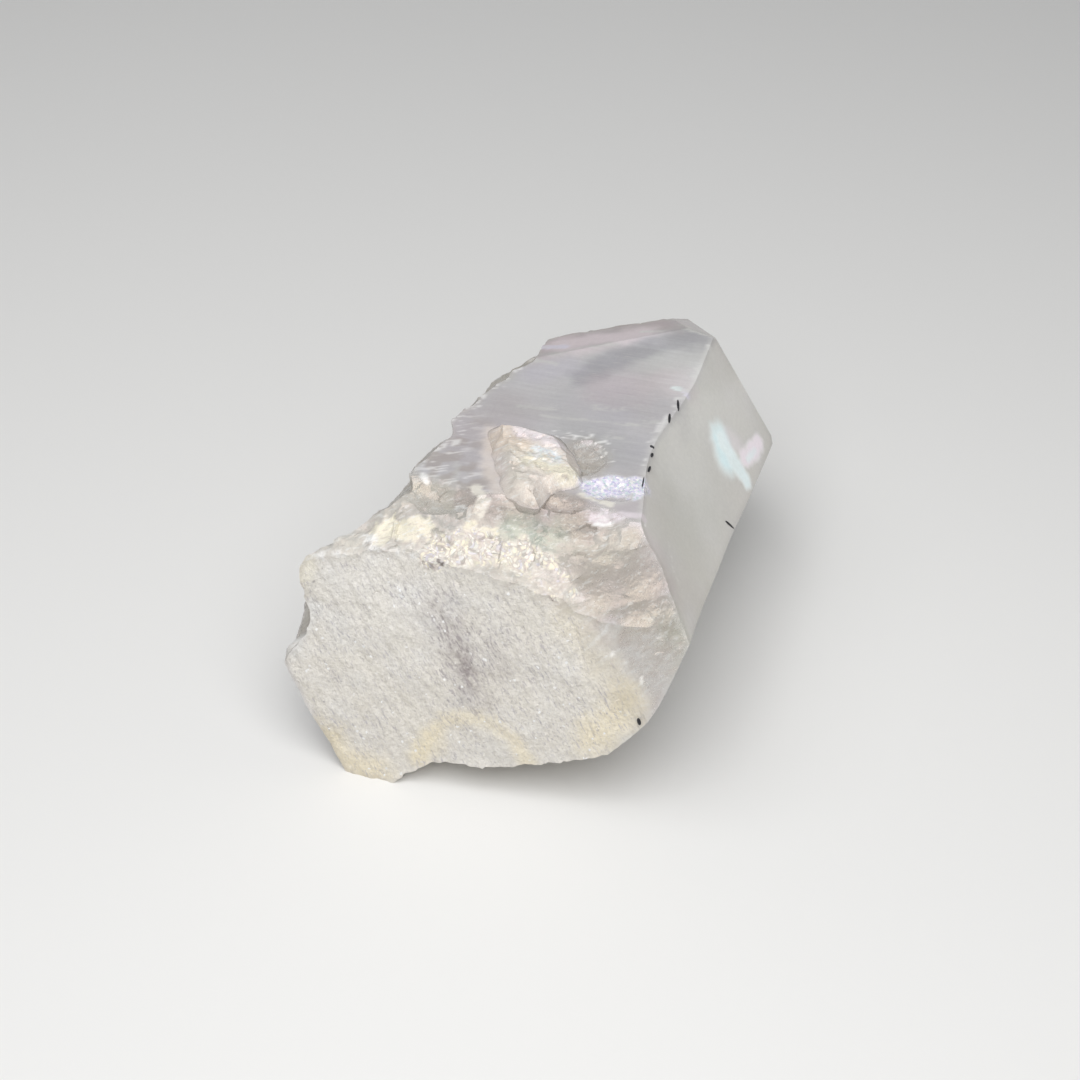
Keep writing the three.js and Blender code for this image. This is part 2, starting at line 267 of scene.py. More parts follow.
MARKS = (
    # Top face and the small facet behind it
    spot("blush", 2.4, 0.85, (-1, 15, 30.4), (7, 18.5, 30.6), clear=0.25, soft=0.6),
    spot("lilac", 0.8, 0.9, (-3.4, 13.7, 30.2), (-1.2, 14, 30.5), clear=0.1),
    spot("white", 0.25, 0.8, (6.6, 19.2, 30.5), (8.9, 19.2, 30.8)),
    spot("white", 0.25, 0.45, (0, 13.3, 30.9), (5, 15.4, 31), wander=0.8),
    spot("smoke", 1.7, 0.85, (2.7, 8.3, 31), (5.2, 12.3, 31), (9.2, 16.6, 31), (12.8, 18.6, 31),
         soft=0.6),
    spot("rose", 2.6, 0.5, (5.5, 6.4, 31), (12, 9.6, 31), soft=0.8),
    spot("lilac", 1.6, 0.5, (-2.6, 7.5, 31), (0.5, 9.5, 31), soft=0.8),
    spot("smoke", 3.2, 0.3, (3, 3, 31), (12, 4.4, 31), soft=0.9, lines=0.5),
    spot("plum", 3.4, 0.55, (-4, 0, 31), (-6.5, -7, 31), (-3, -11, 31), soft=0.8, lines=0.35),
    spot("brown", 3.2, 0.6, (-8, -5, 31), (-8.5, -10, 31), (-4, -12, 31), soft=0.8, broken=(1.6, 0.05)),
    spot("white", 2.4, 0.55, (-8.5, -3, 31), (-8.5, -12, 31), (-3.6, -12.6, 31), soft=0.8,
         broken=(0.35, 0.38, 6.0, (0.9, 0.4, 0.0)), clear=0.2),
    spot("smoke", 2.4, 0.35, (5, -2, 31), (10, -4.4, 31), soft=0.9, lines=0.6),
    spot("white", 0.28, 0.7, (-3.6, 9.9, 31), (-0.8, 9.8, 31), wander=0.8),
    spot("white", 0.28, 0.7, (-2.8, 1.4, 31), (1.3, 1.9, 31), wander=0.8),
    spot("white", 0.5, 0.6, (5.2, 3.3, 31), (8.6, 3.8, 31), broken=(0.4, 0.1)),
    spot("white", 0.22, 0.75, (0.1, 0.4, 31), (12.2, 1.6, 31), broken=(1.6, 0)),
    spot("white", 0.25, 0.8, (8, 1, 31), (10.3, 1.4, 31), broken=(0.8, 0)),
    spot("white", 0.45, 0.6, (11.3, 2.1, 31), (12.5, 2.4, 31), broken=(0.3, 0)),
    spot("white", 0.25, 0.7, (7.2, -1.5, 31), (9.2, -1.2, 31), broken=(0.5, 0)),
    # Painted glint: a small white-blue and violet spot near the top face's right edge
    spot("glint_blue", 0.42, 1, (12.7, 8.9, 31), (13.5, 8.7, 31), clear=0.02, wander=0.3),
    spot("lilac", 0.36, 1, (13.8, 8.6, 31), (14.3, 7.9, 30.8), clear=0.02, wander=0.3),
    spot("white", 0.38, 0.6, (14.9, 19.8, 31), (14.5, 12.6, 31), (13.2, 4.6, 31), (12.4, -1.4, 31),
         (12.8, -9, 31), broken=(1.1, 0.12), wander=0.9, clear=0.25),
    spot("white", 0.35, 0.8, (11.4, 20.2, 31), (14.6, 19.6, 31)),
    # Worn and chipped left border of the top face
    spot("white", 0.6, 0.7, (-10.9, -13.9, 31), (-9.6, -6.4, 31), (-8.1, -2.3, 31), (-5.4, 6.9, 31),
         (-3.5, 13.5, 30.2), broken=(0.4, 0.2), wander=1.0, clear=0.2),
    spot("white", 0.5, 0.8, (-9.3, -8.2, 31), (-7.2, -6.2, 31), broken=(0.5, 0.05), clear=0.2),
    spot("white", 0.4, 0.95, (-9.2, -12.6, 31), (-8.7, -13.1, 30.8), clear=0.1),
    spot("white", 0.3, 0.5, (-6.4, -9.8, 31), (-5.6, -12.4, 31), wander=1),
    # Rainbow patch inside the right face, painted as the iridescent reflection of a crack under the surface,
    # and the scratches in front of it
    spot("white", 5, 0.4, (15.6, 12.5, 29), (18.6, 16.5, 24), soft=0.9, clear=0.24),
    spot("aqua", 1.8, 1, (17.9, 8.8, 25), (18.7, 7.8, 23.5), soft=0.6, wander=0.3, clear=0, flash=0.85),
    spot("pink", 1.2, 0.5, (18.6, 10.6, 24), (19.3, 11.4, 22.6), soft=0.9, wander=0.2, clear=0.2,
         flash=0.3),
    spot("glint_blue", 1.15, 1, (18, 9.2, 24.8), (19.5, 9, 22.3), (21, 9.1, 19.7), wander=0.3, clear=0.02,
         flash=0.95, soft=0.45),
    spot("pink", 1.15, 1, (21, 16.2, 19.7), (20.6, 13.6, 20.3), (20.3, 11.4, 20.9), wander=0.3,
         clear=0.02, flash=0.75, soft=0.45),
    spot("glint_blue", 0.5, 0.8, (20.8, 14.4, 19.9), (20.5, 11.8, 20.5), soft=0.6, wander=0.2, flash=0.6),
    spot("green", 0.18, 0.75, (18.4, 8.4, 24.1), (20.6, 8.5, 20.5), wander=0.2),
    spot("white", 0.26, 0.8, (15.9, -12.4, 27.4), (16.9, -13.6, 25.9), (17.7, -14.7, 24.6), wander=0.6,
         clear=0.2),
    spot("white", 0.24, 0.7, (16.6, -11.6, 26.5), (17.7, -14.2, 25.1), (18.9, -15, 23.2), wander=0.6,
         clear=0.2),
    spot("olive", 4.5, 0.25, (16.2, -9, 27.4), (18, -9.5, 24), soft=0.9),
    spot("pale", 3, 0.6, (18, -15.5, 24.5), (20, -14, 20), soft=0.9),
    # Shoulder between the top face and the base
    spot("brown", 1.5, 0.7, (-4, -14.6, 30.7), (1, -15, 30.2), (5, -15, 30.2), (9, -14.9, 30),
         clear=0.4, lines=0.7),
    spot("green", 1.7, 0.85, (1.8, -16.3, 29), (5, -16.4, 28.7), soft=0.7),
    spot("cream", 0.6, 0.85, (-3.2, -13.2, 31), (-2.2, -14.2, 30.6), (-2.2, -15.6, 30), wander=0.6,
         clear=0.15),
    spot("white", 0.6, 0.95, (-4.3, -15.7, 29.9), (-3.5, -16.1, 29.8), broken=(0.4, -0.1), clear=0.1),
    spot("grey", 1.3, 0.6, (-6.6, -17, 29.3), (-4.4, -16.7, 29.6), clear=0.4),
    spot("butter", 1.25, 0.9, (-12, -18.8, 27.8), (-9.8, -18.4, 28.4), (-7.8, -18, 28.9), clear=0.08,
         soft=0.12, wander=0.7),
    spot("white", 0.7, 1, (-13.3, -19.4, 27), (-12.8, -19.3, 27.2), broken=(0.4, -0.2), clear=0.05),
    spot("butter", 0.95, 0.9, (-2.8, -17.3, 28.6), (-0.6, -17.5, 28.4), clear=0.08, soft=0.12,
         wander=0.7),
    spot("cream", 1.7, 0.75, (-6, -19.9, 27.2), (-1.5, -18.8, 27.8), (2.7, -18.2, 27.2),
         (5.7, -19.5, 26.8), (7.8, -20.2, 25.8), clear=0.12, flakes=1, wander=0.6),
    spot("ground", 1.4, 0.65, (5, -19.8, 27), (8.4, -20.6, 25.4), broken=(0.9, -0.25), bare=0.75),
    spot("white", 0.6, 0.8, (-18.9, -21.3, 25), (-16, -21.2, 25.8), (-12.6, -20.7, 27),
         (-8.5, -20.7, 27), (-5, -20.6, 27), broken=(0.6, -0.05), clear=0.1),
    spot("white", 0.75, 0.9, (8, -20.4, 25.6), (9.6, -20.4, 25.2), broken=(0.5, -0.1), clear=0.1),
    spot("pink", 0.65, 0.8, (9.4, -14.1, 30.5), (14.3, -13.2, 30.5), clear=0.2),
    # Painted highlight along the ledge's edge, and under it a painted shadow line
    spot("white", 0.22, 1, (9.5, -14.7, 30.1), (14.6, -13.7, 30.2), wander=0.3, clear=0.05),
    spot("brown", 0.4, 0.6, (9.4, -15.4, 29.6), (14.8, -14.4, 29.6)),
    spot("olive", 1.4, 0.7, (8.2, -18, 28), (10.6, -17.2, 28.2), (9.6, -18.8, 27)),
    spot("shade", 0.2, 0.75, (7.4, -20.4, 25.5), (8.2, -19.2, 26.7), (10.2, -17.6, 28.3),
         (11.5, -16.7, 28.9), wander=0.8),
    spot("white", 0.5, 0.8, (5.5, -16.8, 28.6), (11, -16.4, 29), broken=(0.5, 0.25)),
    spot("rose", 1.7, 0.35, (15.4, -15.2, 28.3), (16.4, -17, 25.4), soft=0.8),
    spot("pale", 2.4, 0.15, (11.5, -19, 26), (14.5, -20.5, 22.5), soft=0.9),
    spot("brown", 3.4, 0.4, (12, -18, 26.5), (15.5, -18, 24.5), soft=0.9),
    spot("white", 3.4, 0.45, (9.5, -20.8, 24), (13, -20, 24), (16, -19, 23), soft=0.6,
         broken=(0.4, 0.35, 8.0, (0.6, 0.25, 0.76))),
    spot("white", 3.2, 0.5, (12, -21.5, 21), (16, -21.5, 19), (18, -20.5, 18), soft=0.6,
         broken=(0.4, 0.3, 8.0, (0.6, 0.25, 0.76))),
    spot("brown", 2.4, 0.6, (8, -19, 26.5), (12, -18.7, 25.8), (16, -18.1, 24.8), soft=0.9),
    spot("brown", 2.6, 0.5, (13, -20.5, 23), (17, -19.5, 20), soft=0.7,
         broken=(0.7, 0.05, 6.0, (0.6, 0.25, 0.76))),
    # Two painted glints on the lower right break
    spot("white", 0.14, 1, (13.4, -22.1, 20), (13.7, -22.2, 19.5), clear=0, wander=0.2),
    spot("white", 0.14, 1, (16.6, -22.3, 17.4), (16.8, -22.4, 16.9), clear=0, wander=0.2),
    # Glittering patch, whose sparkles are painted glints on leaning facets, and the ledge in front of it
    spot("lilac", 1.55, 0.9, (8.7, -9.7, 31), (12.6, -8.8, 31), glitter=1, clear=0.1),
    spot("glint_blue", 0.4, 0.9, (13, -8, 31), (13, -10.6, 31), glitter=1, clear=0.1),
    spot("cream", 0.45, 0.85, (7.6, -11.5, 31), (9.4, -11.9, 31), (10.8, -12.3, 31), clear=0.15),
    # Rough hollow beside the crust, and its crumbly border
    spot("brown", 1.9, 0.4, (5.4, -4.2, 30.5), (6.8, -6.6, 30.4), soft=0.7),
    spot("white", 1.7, 0.65, (4.6, -4.4, 30.6), (7, -5, 30.4), (8, -7, 30.6),
         broken=(0.35, 0.22, 5.0, (1.0, 0.25, 0.0))),
    spot("white", 0.75, 0.85, (2.4, -2.6, 31), (5, -1.6, 31), (7.6, -2.6, 31), (8.6, -5, 31),
         broken=(0.3, 0.2), wander=0.9, clear=0.15),
    # The pit below the crust's lower right edge: its brown colour with painted shade under the crust
    spot("brown", 0.9, 0.7, (4.3, -12.2, 30.9), (7.4, -12.8, 30.9), soft=0.6),
    # Crust, with painted highlights and a painted shadow
    spot("crust", 0.8, 0.7, (-4.4, -3.4, 31), (-3.4, -8.6, 31), (-0.8, -13.4, 31), (1.6, -14.6, 31),
         (4, -13.4, 31), soft=0.7, clear=0.2),
    spot("peach", 1.6, 0.85, (-2.9, -5.6, 32.4), (-0.5, -6.6, 32.4), soft=0.7),
    spot("pink", 0.9, 0.8, (-0.8, -4.2, 32.2), (3.4, -5.2, 32.1), soft=0.7),
    # Painted highlight in the crust's middle
    spot("glint_blue", 1.0, 1, (1.6, -7.2, 32.1), (3.6, -8.1, 32.1), broken=(0.4, -0.25), glitter=0.3),
    spot("butter", 1.2, 0.85, (1.6, -8.6, 32.2), (5.6, -9.8, 32.1), soft=0.6),
    spot("olive", 1.3, 0.45, (-0.6, -8.3, 32.4), (1, -12.2, 32.4), soft=0.8),
    # Painted shadow at the crust's lower right corner
    spot("shade", 0.28, 0.9, (5.4, -10.3, 32.1), (5.6, -10.4, 32)),
    # Painted highlight along the crust's upper edge
    spot("glint_blue", 0.3, 0.9, (-3.5, -3.2, 31.9), (-1.2, -3.1, 31.9)),
    spot("brown", 0.55, 0.6, (-3.9, -4.8, 32), (-3.5, -5.3, 31.8)),
    spot("white", 0.22, 0.6, (1.2, -6.2, 32.2), (2, -7.6, 32.2), (1.4, -9.4, 32.2), wander=1),
    # Base
    spot("smudge", 2.8, 0.14, (-5, -21.9, 21.4), (-2.8, -23, 17.5), (-1.7, -23.5, 15.5),
         (-0.3, -24.4, 12), soft=0.9, pitted=0.7),
    spot("smudge", 3.2, 0.05, (-7, -21.4, 23), (-2, -22.4, 20.5), (3, -23, 18), soft=0.9, pitted=0.35),
    spot("smudge", 1.5, 0.3, (-4.7, -21.9, 21), (-2.8, -23, 17.5), (-1.7, -23.5, 15.5),
         (-0.6, -24.4, 12.3), soft=0.9, broken=(0.5, -0.1, 4.0, PIT_RUN), pitted=1),
    spot("smudge", 1.0, 0.6, (-2.3, -23.3, 16.6), (-1.2, -23.9, 14), soft=0.8,
         broken=(0.35, 0, 3.0, PIT_RUN), pitted=1),
    spot("smudge", 1.3, 0.15, (1, -23, 18.5), (2.2, -23.5, 16), soft=0.9, pitted=0.7),
    spot("white", 6, 0.2, (-14, -22, 23), (-7, -22, 22), soft=0.9),
    spot("smudge", 0.75, 0.65, (-2.2, -23.4, 16.2), (-1.6, -23.6, 15), soft=0.5, broken=(0.35, -0.1),
         pitted=1),
    spot("dark", 0.5, 0.6, (-2, -23.5, 15.9), (-1.7, -23.6, 15.3), broken=(0.25, 0.1)),
    spot("stain", 1.9, 0.75, (-16.8, -26.1, 4), (-15.2, -26.6, 1.6), (-11.6, -26.9, 0.6), soft=0.8),
    spot("stain", 0.9, 0.6, (-6.4, -26.2, 3.6), (-5, -25.2, 7), (-3.4, -25, 9), (-1.2, -25, 9.9),
         (1.6, -24.9, 9.6), (4, -25.2, 7.8), (5.4, -25.6, 5.6), soft=0.9),
    spot("stain", 1.3, 0.5, (-6.2, -26, 4), (-5, -25.5, 6), soft=0.8),
    spot("stain", 2.0, 0.75, (15.4, -23, 15), (14, -23.9, 12.2), (12.2, -24.7, 9.8), soft=0.9),
    spot("stain", 1.7, 0.28, (8, -21.4, 23.4), (11, -22, 20), (13.6, -22.6, 17.6), soft=0.9),
    spot("butter", 1.2, 0.5, (-19.4, -22, 24), (-19.8, -22, 22), soft=0.8),
    spot("dark", 0.34, 0.9, (-5.4, -20.5, 26.9), (-4.9, -20.6, 26.5), wander=0.6, bare=1),
    spot("dark", 0.2, 0.8, (-18.5, -22, 22.5), (-18.4, -22, 22.2)),
    spot("dark", 0.2, 0.8, (-13.4, -19.8, 26.8), (-13.1, -19.8, 26.8)),
    # Painted light on a facet of the left flank that faces down and away from the lamps
    spot("white", 1.6, 0.7, (-20.9, -23, 14), (-20, -22.8, 16.5), (-19.4, -22.6, 18.4), soft=0.5,
         clear=0.1),
)

# The dark slivers: both ends of each in millimetres, and its width as a share of the widest
SLIVERS = (
    ((13.5, 6.8, 31.0), (14.1, 5.0, 31.0), 0.75),
    ((13.2, 4.2, 31.0), (13.5, 2.6, 31.0), 0.8),
    ((12.41, -1.78, 31.0), (12.67, -1.92, 30.76), 0.8),
    ((12.65, -2.78, 30.74), (12.69, -3.39, 30.68), 0.9),
    ((12.89, -4.7, 30.52), (12.94, -5.85, 30.61), 0.8),
    ((12.98, -6.98, 30.82), (13.2, -8.84, 30.99), 0.4),
    ((20.3, 0.4, 20.7), (21.2, 1.3, 19.2), 0.8),
    ((16.75, -23.6, 13.1), (17.05, -23.7, 12.3), 1.1),
)
SLIVER_LIFT = 0.32  # of its width, so that a sliver isn't quite half sunk
SLIVER_RINGS = 11
SLIVER_SIDES = 12
SLIVER_ASIDE = (0.3, -0.9, 0.2)  # a direction that no sliver runs along

# The lamps, each with its place right of, ahead of and above the stone in metres, as seen by
# the camera
LAMPS = (
    ("key", (0.005, -0.15, 0.26)),
    ("fill", (-0.19, 0.0, 0.42)),
)
ROOM_COLOUR = (0.95, 0.97, 1.0, 1)

# The floor's rings in metres: the two innermost, the steps out to the turn, and those round it
FLOOR_START = (0.02, 0.05)
FLOOR_STEPS = 8
TURN_STEPS = 12
FLOOR_SIDES = 96

SENSOR = 36  # the camera's sensor width in millimetres
CLIP_START = 0.01

# How light meets the quartz and its film
QUARTZ_INDEX = 1.54  # index of refraction
FILM_INDEX = 1.65
FILM_THINNER = 24.0  # nanometres that the film is thinner by on the breaks
FLASH_STRENGTH = 1.2
MILKY = 0.3  # the share of the light that still passes into flakes and glitter

# Runs of the patterns in the surface, each with its stretch, and the sizes in millimetres
LINES = ((1.0, 0.0, 0.0), 22.0)
LINE_SIZE = 0.4
DASHES = ((1.0, 0.12, 0.0), 12.0)
PITS = (PIT_RUN, 3.6)
VEINS = ((0.75, 0.1, 0.55), 6.0)
VEIN_SIZE = 0.36
FLAKE_BEND = (1.0, 1.2)  # size and reach of the noise that bends the flakes' borders
BUMP_SIZE = 0.35

# How uneven the surface is, as a share of the bump's height, and how far small facets lean
CLEAR_UNEVEN = 0.06
SUGAR_UNEVEN = 1.7  # more, on the base
GRAIN_LEAN = 0.3
FLAKE_LEAN = 0.7
GLITTER_LEAN = 0.6

# Plain greys that colours are multiplied by, and the middle of a random colour
WHITE = (1.0, 1.0, 1.0, 1)
CLOUD_DIM = (0.94, 0.94, 0.94, 1)
LINE_DIM = (0.93, 0.92, 0.93, 1)
HALF = (0.5, 0.5, 0.5)


def number(name, description, default, **more):
    """A plain number as a property."""
    return FloatProperty(name=name, description=description, default=default, **more)


def length(name, description, default):
    """A length in metres as a property."""
    return number(name, description, default, min=0.0, precision=5, unit="LENGTH")


def colour(name, description, default):
    """A colour as a property."""
    return FloatVectorProperty(name=name, description=description, default=default, size=3, min=0.0,
                               max=1.0, subtype="COLOR")


class QuartzSizes(bpy.types.PropertyGroup):
    """Sizes of the stone's finer forms and of its film."""

    flake: length("Flake", "Width of one flake of the cream breaks", 0.00036)
    grain: length("Grain", "Width of one grain of the sugary base", 0.00024)
    glitter: length("Glitter", "Width of one facet of the glittering patch", 0.00026)
    scratch: length("Growth line", "Width of the white growth lines on the top face", 0.0002)
    bump: length("Bump", "Height of the finest unevenness of the broken faces", 0.00008)
    film: number("Film", "Thickness of the pearly film in nanometres", 160.0, min=0.0, max=900.0)
    film_play: number("Film play", "How much the film's thickness varies, in nanometres", 36.0, min=0.0,
                      max=500.0)
    depth: number("Depth tint", "How strongly the clear stone takes the depth colour", 24.0, min=0.0)
    sliver: length("Sliver width", "Width of the widest dark sliver", 0.00036)


class QuartzColours(bpy.types.PropertyGroup):
    """Colours of the stone."""

    mauve: colour("Mauve", "The clear top face", (0.895, 0.885, 0.905))
    khaki: colour("Khaki", "The clear right face", (1, 0.99, 0.945))
    # Rose and the lilac, pink and aqua below are also the film's sheen, painted into the colour
    rose: colour("Rose", "Pink sheen of the film", (0.93, 0.8, 0.845))
    plum: colour("Plum", "Darker mauve of the top face beside the crust", (0.74, 0.68, 0.7))
    smoke: colour("Smoke", "Grey clouds in the top face", (0.62, 0.62, 0.66))
    blush: colour("Blush", "The small facet behind the top face", (1.0, 0.89, 0.93))
    # Violet and the white-blue colour below paint glints and flashes
    violet: colour("Violet", "Violet facets of the glittering patch", (0.6, 0.56, 0.8))
    lilac: colour("Lilac", "Violet sheen of the film", (0.82, 0.79, 0.9))
    pink: colour("Pink", "Pale pink sheen of the film", (0.96, 0.885, 0.93))
    aqua: colour("Aqua", "Green-blue sheen of the film", (0.78, 0.94, 0.96))
    glint_blue: colour("Ice", "White-blue flashes", (0.9, 1, 1))
    green: colour("Green", "Green sheen of the shoulder", (0.62, 0.68, 0.60))
    olive: colour("Olive", "Olive tint of the clear breaks", (0.66, 0.65, 0.56))
    # Brown also paints the shadow under the ledge and the shade under the crust
    brown: colour("Brown", "Brown-mauve hollows", (0.66, 0.59, 0.545))
    beige: colour("Beige", "The shell-shaped break", (0.72, 0.69, 0.61))
    grey: colour("Grey", "Small smooth grey breaks", (0.8, 0.79, 0.75))
    pale: colour("Pale", "Large smooth breaks", (0.84, 0.81, 0.775))
    ground: colour("Ground", "The broken shoulder between its marks", (0.69, 0.66, 0.605))
    cream: colour("Cream", "Cream breaks", (0.95, 0.92, 0.82))
    flake: colour("Flake", "Brightest flakes of the cream breaks", (0.98, 0.965, 0.885))
    butter: colour("Butter", "Yellow-cream patches", (0.93, 0.88, 0.71))
    peach: colour("Peach", "Warm part of the crust", (0.86, 0.74, 0.62))
    crust: colour("Crust", "The crust on the top face", (0.865, 0.79, 0.725))
    # White also paints glints, highlights and the light on a flank facet, besides chips and scratches
    white: colour("White", "Chips, crumbs and scratches", (0.96, 0.96, 0.94))
    sugar: colour("Sugar", "The sugary base", (0.8, 0.77, 0.7))
    pit: colour("Pit", "Short pits of the sugary base", (0.50, 0.48, 0.49))
    smudge: colour("Smudge", "The dark place in the middle of the base", (0.36, 0.325, 0.32))
    stain: colour("Stain", "Yellow stains of the base", (0.89, 0.8, 0.585))
    # Shade also paints the shadow at the crust's corner, besides a crack
    shade: colour("Shade", "Cracks and gaps between flakes", (0.40, 0.37, 0.34))
    dark: colour("Dark", "Dark spots", (0.16, 0.14, 0.13))
    depth: colour("Depth", "What long paths through the clear stone turn to", (0.86, 0.87, 0.80))
    sliver: colour("Sliver", "The dark slivers", (0.012, 0.012, 0.014))


class StageSettings(bpy.types.PropertyGroup):
    """The floor, the lamps and the camera."""

    floor: colour("Floor", "Colour of the floor", (0.84, 0.835, 0.82))
    floor_radius: length("Floor radius", "Where the floor starts to turn up", 0.7)
    wall_radius: length("Wall radius", "Where the backdrop stands", 1.1)
    wall_height: length("Wall height", "Height of the backdrop", 0.55)
    key: number("Key lamp", "Power of the lamp in front", 0.78, unit="POWER")
    fill: number("Fill lamp", "Power of the lamp at the left", 0.4, unit="POWER")
    lamp_size: length("Lamp size", "Width of each lamp", 0.3)
    room: number("Room light", "Strength of the even light of the room", 0.232)
    azimuth: number("Azimuth", "Camera angle round the stone, from the base's side",
                    math.radians(15), subtype="ANGLE")
    elevation: number("Elevation", "Camera angle above the floor", math.radians(40), subtype="ANGLE")
    distance: length("Distance", "From the camera to the stone", 0.26)
    aim: length("Aim height", "Height that the camera looks at", 0.014)
    lens: number("Lens", "Focal length in millimetres", 78.0, subtype="DISTANCE_CAMERA")


def scatter(i, j, k):
    """A number from 0 to 1 for a lattice corner: the fraction of a large sine of its mixed indices."""
    wave = np.sin(i * SCATTER[0] + j * SCATTER[1] + k * SCATTER[2]) * SCATTER[3]
    return wave - np.floor(wave)


def roughness(points, size):
    """Smooth random height from -1 to 1, with lumps of the given size.

    The eight corners of the lattice cell around a point have random heights. They are blended
    along each axis with the smooth step 3t^2 - 2t^3.
    """
    at = points / size
    low = np.floor(at)
    part = at - low
    blend = part * part * (3 - 2 * part)
    height = np.zeros(len(points))
    for corner in range(8):
        step = np.array([corner & 1, (corner >> 1) & 1, corner >> 2])
        share = np.prod(np.where(step, blend, 1 - blend), axis=1)
        at_corner = low + step
        height += share * scatter(at_corner[:, 0], at_corner[:, 1], at_corner[:, 2])
    return 2 * height - 1


def stretched(points, stretch=1.0, run=(0.0, 0.0, 1.0)):
    """The points with their distance along the run divided by the stretch, so that noise runs that way."""
    run = np.array(run, float)
    run /= np.linalg.norm(run)
    return points - np.outer(points @ run, run) * (1 - 1 / stretch)


def plates(points, size, lean):
    """Small flat facets that each lean their own way.

    Each lattice cell has a random point. The nearest one owns the place, and the height is
    its random lean times the distance from it along each axis. Noise bends the borders.
    """
    at = (points + PLATE_BEND * size * roughness(points, PLATE_LUMP * size)[:, None]) / size
    low = np.floor(at)
    best = np.full(len(points), np.inf)
    height = np.zeros(len(points))
    for corner in range(27):
        cell = low + np.array([corner % 3, corner // 3 % 3, corner // 9]) - 1
        middle = cell + np.stack([scatter(*cell.T + shift) for shift in PLATE_PLACES], axis=1)
        away = at - middle
        distance = np.sum(away * away, axis=1)
        nearer = distance < best
        best = np.where(nearer, distance, best)
        tilt = np.stack([scatter(*cell.T + shift) for shift in PLATE_LEANS], axis=1) - 0.5
        height = np.where(nearer, 2 * size * lean * np.sum(tilt * away, axis=1), height)
    return height


def relief(surface, points):
    """How far the stone stands out of a face's plane or a hollow's round body.

    It is the sum of the waves, the creases (each the height times 1 less twice the size of
    the noise), the swells, the ledges and the plates.
    """
    height = np.zeros(len(points))
    for size, rise, *run in surface.get("waves", ()):
        height += rise * roughness(stretched(points, *run), size)
    for size, rise, *run in surface.get("creases", ()):
        height += rise * (0.5 - np.abs(2 * roughness(stretched(points, *run), size)))
    for x, y, z, radius, rise in surface.get("swells", ()):
        away = np.linalg.norm(points - (x, y, z), axis=1)
        height += rise * np.exp(-((away / radius) ** 2))
    if "ledges" in surface:
        up, spacing, drop = surface["ledges"]
        bent = points @ np.array(up) / spacing + LEDGE_BEND * roughness(points, LEDGE_LUMP * spacing)
        part = bent - np.floor(bent)
        falls, rises = 0.5 - part / (1 - LEDGE_FRONT), (part - 1) / LEDGE_FRONT + 0.5
        height += drop * np.where(part < 1 - LEDGE_FRONT, falls, rises)
    for size, lean in surface.get("plates", ()):
        height += plates(points, size, lean)
    return height


def axes_of(face):
    """Across, along and out: the plane's two directions and its normal, from its roll and pitch."""
    roll, pitch = math.radians(face["roll"]), math.radians(face["pitch"])
    out = np.array([math.cos(roll) * math.cos(pitch), math.sin(pitch), math.sin(roll) * math.cos(pitch)])
    ahead = np.array([0.0, 1.0, 0.0]) if abs(out[1]) < 0.8 else np.array([0.0, 0.0, 1.0])
    along = ahead - out * (out @ ahead)
    along /= np.linalg.norm(along)
    return np.cross(along, out), along, out


def grid_lines(low, high, cell, limit):
    """Even steps of about one cell from low to high, then ever wider ones out to the limit on both sides."""
    fine = np.linspace(low, high, max(2, round((high - low) / cell) + 1))
    growth = cell * np.cumsum(CELL_GROWTH ** np.arange(1, WIDE_CELLS))
    after = high + growth
    before = low - growth
    after = np.append(after[after < limit - cell], limit)
    before = np.append(before[before > -limit + cell], -limit)
    return np.concatenate([before[::-1], fine, after])


def new_object(name, points, triangles):
    """A mesh object from an array of points and an array of triangles."""
    mesh = bpy.data.meshes.new(name)
    mesh.vertices.add(len(points))
    mesh.vertices.foreach_set("co", np.asarray(points, np.float32).ravel())
    mesh.loops.add(triangles.size)
    mesh.loops.foreach_set("vertex_index", np.asarray(triangles, np.int32).ravel())
    mesh.polygons.add(len(triangles))
    mesh.polygons.foreach_set("loop_start", np.arange(0, triangles.size, 3, dtype=np.int32))
    mesh.update(calc_edges=True)
    made = bpy.data.objects.new(name, mesh)
    bpy.context.scene.collection.objects.link(made)
    return made


def grid_triangles(grid, flip=False):
    """Two triangles for each cell of a grid of point numbers, wound the other way if flipped."""
    a, b, c, d = grid[:-1, :-1], grid[:-1, 1:], grid[1:, 1:], grid[1:, :-1]
    if flip:
        b, d = d, b
    return np.concatenate([np.stack([a, b, c], -1).reshape(-1, 3), np.stack([a, c, d], -1).reshape(-1, 3)])


def ring_triangles(rings, around, flip=False, ends=2):
    """The triangles of closed rings of points, stored ring by ring.

    A fan joins the first ring to the point after the rings, and where both ends are closed,
    another joins the last ring to the point after that.
    """
    grid = np.arange(rings * around).reshape(rings, around)
    grid = np.concatenate([grid, grid[:, :1]], axis=1)
    here, after = (grid[:, :-1], grid[:, 1:]) if flip else (grid[:, 1:], grid[:, :-1])
    faces = [grid_triangles(grid, flip)]
    first = np.full(around, rings * around)
    faces.append(np.stack([here[0], after[0], first], -1))
    if ends == 2:
        faces.append(np.stack([after[-1], here[-1], first + 1], -1))
    return np.concatenate(faces)


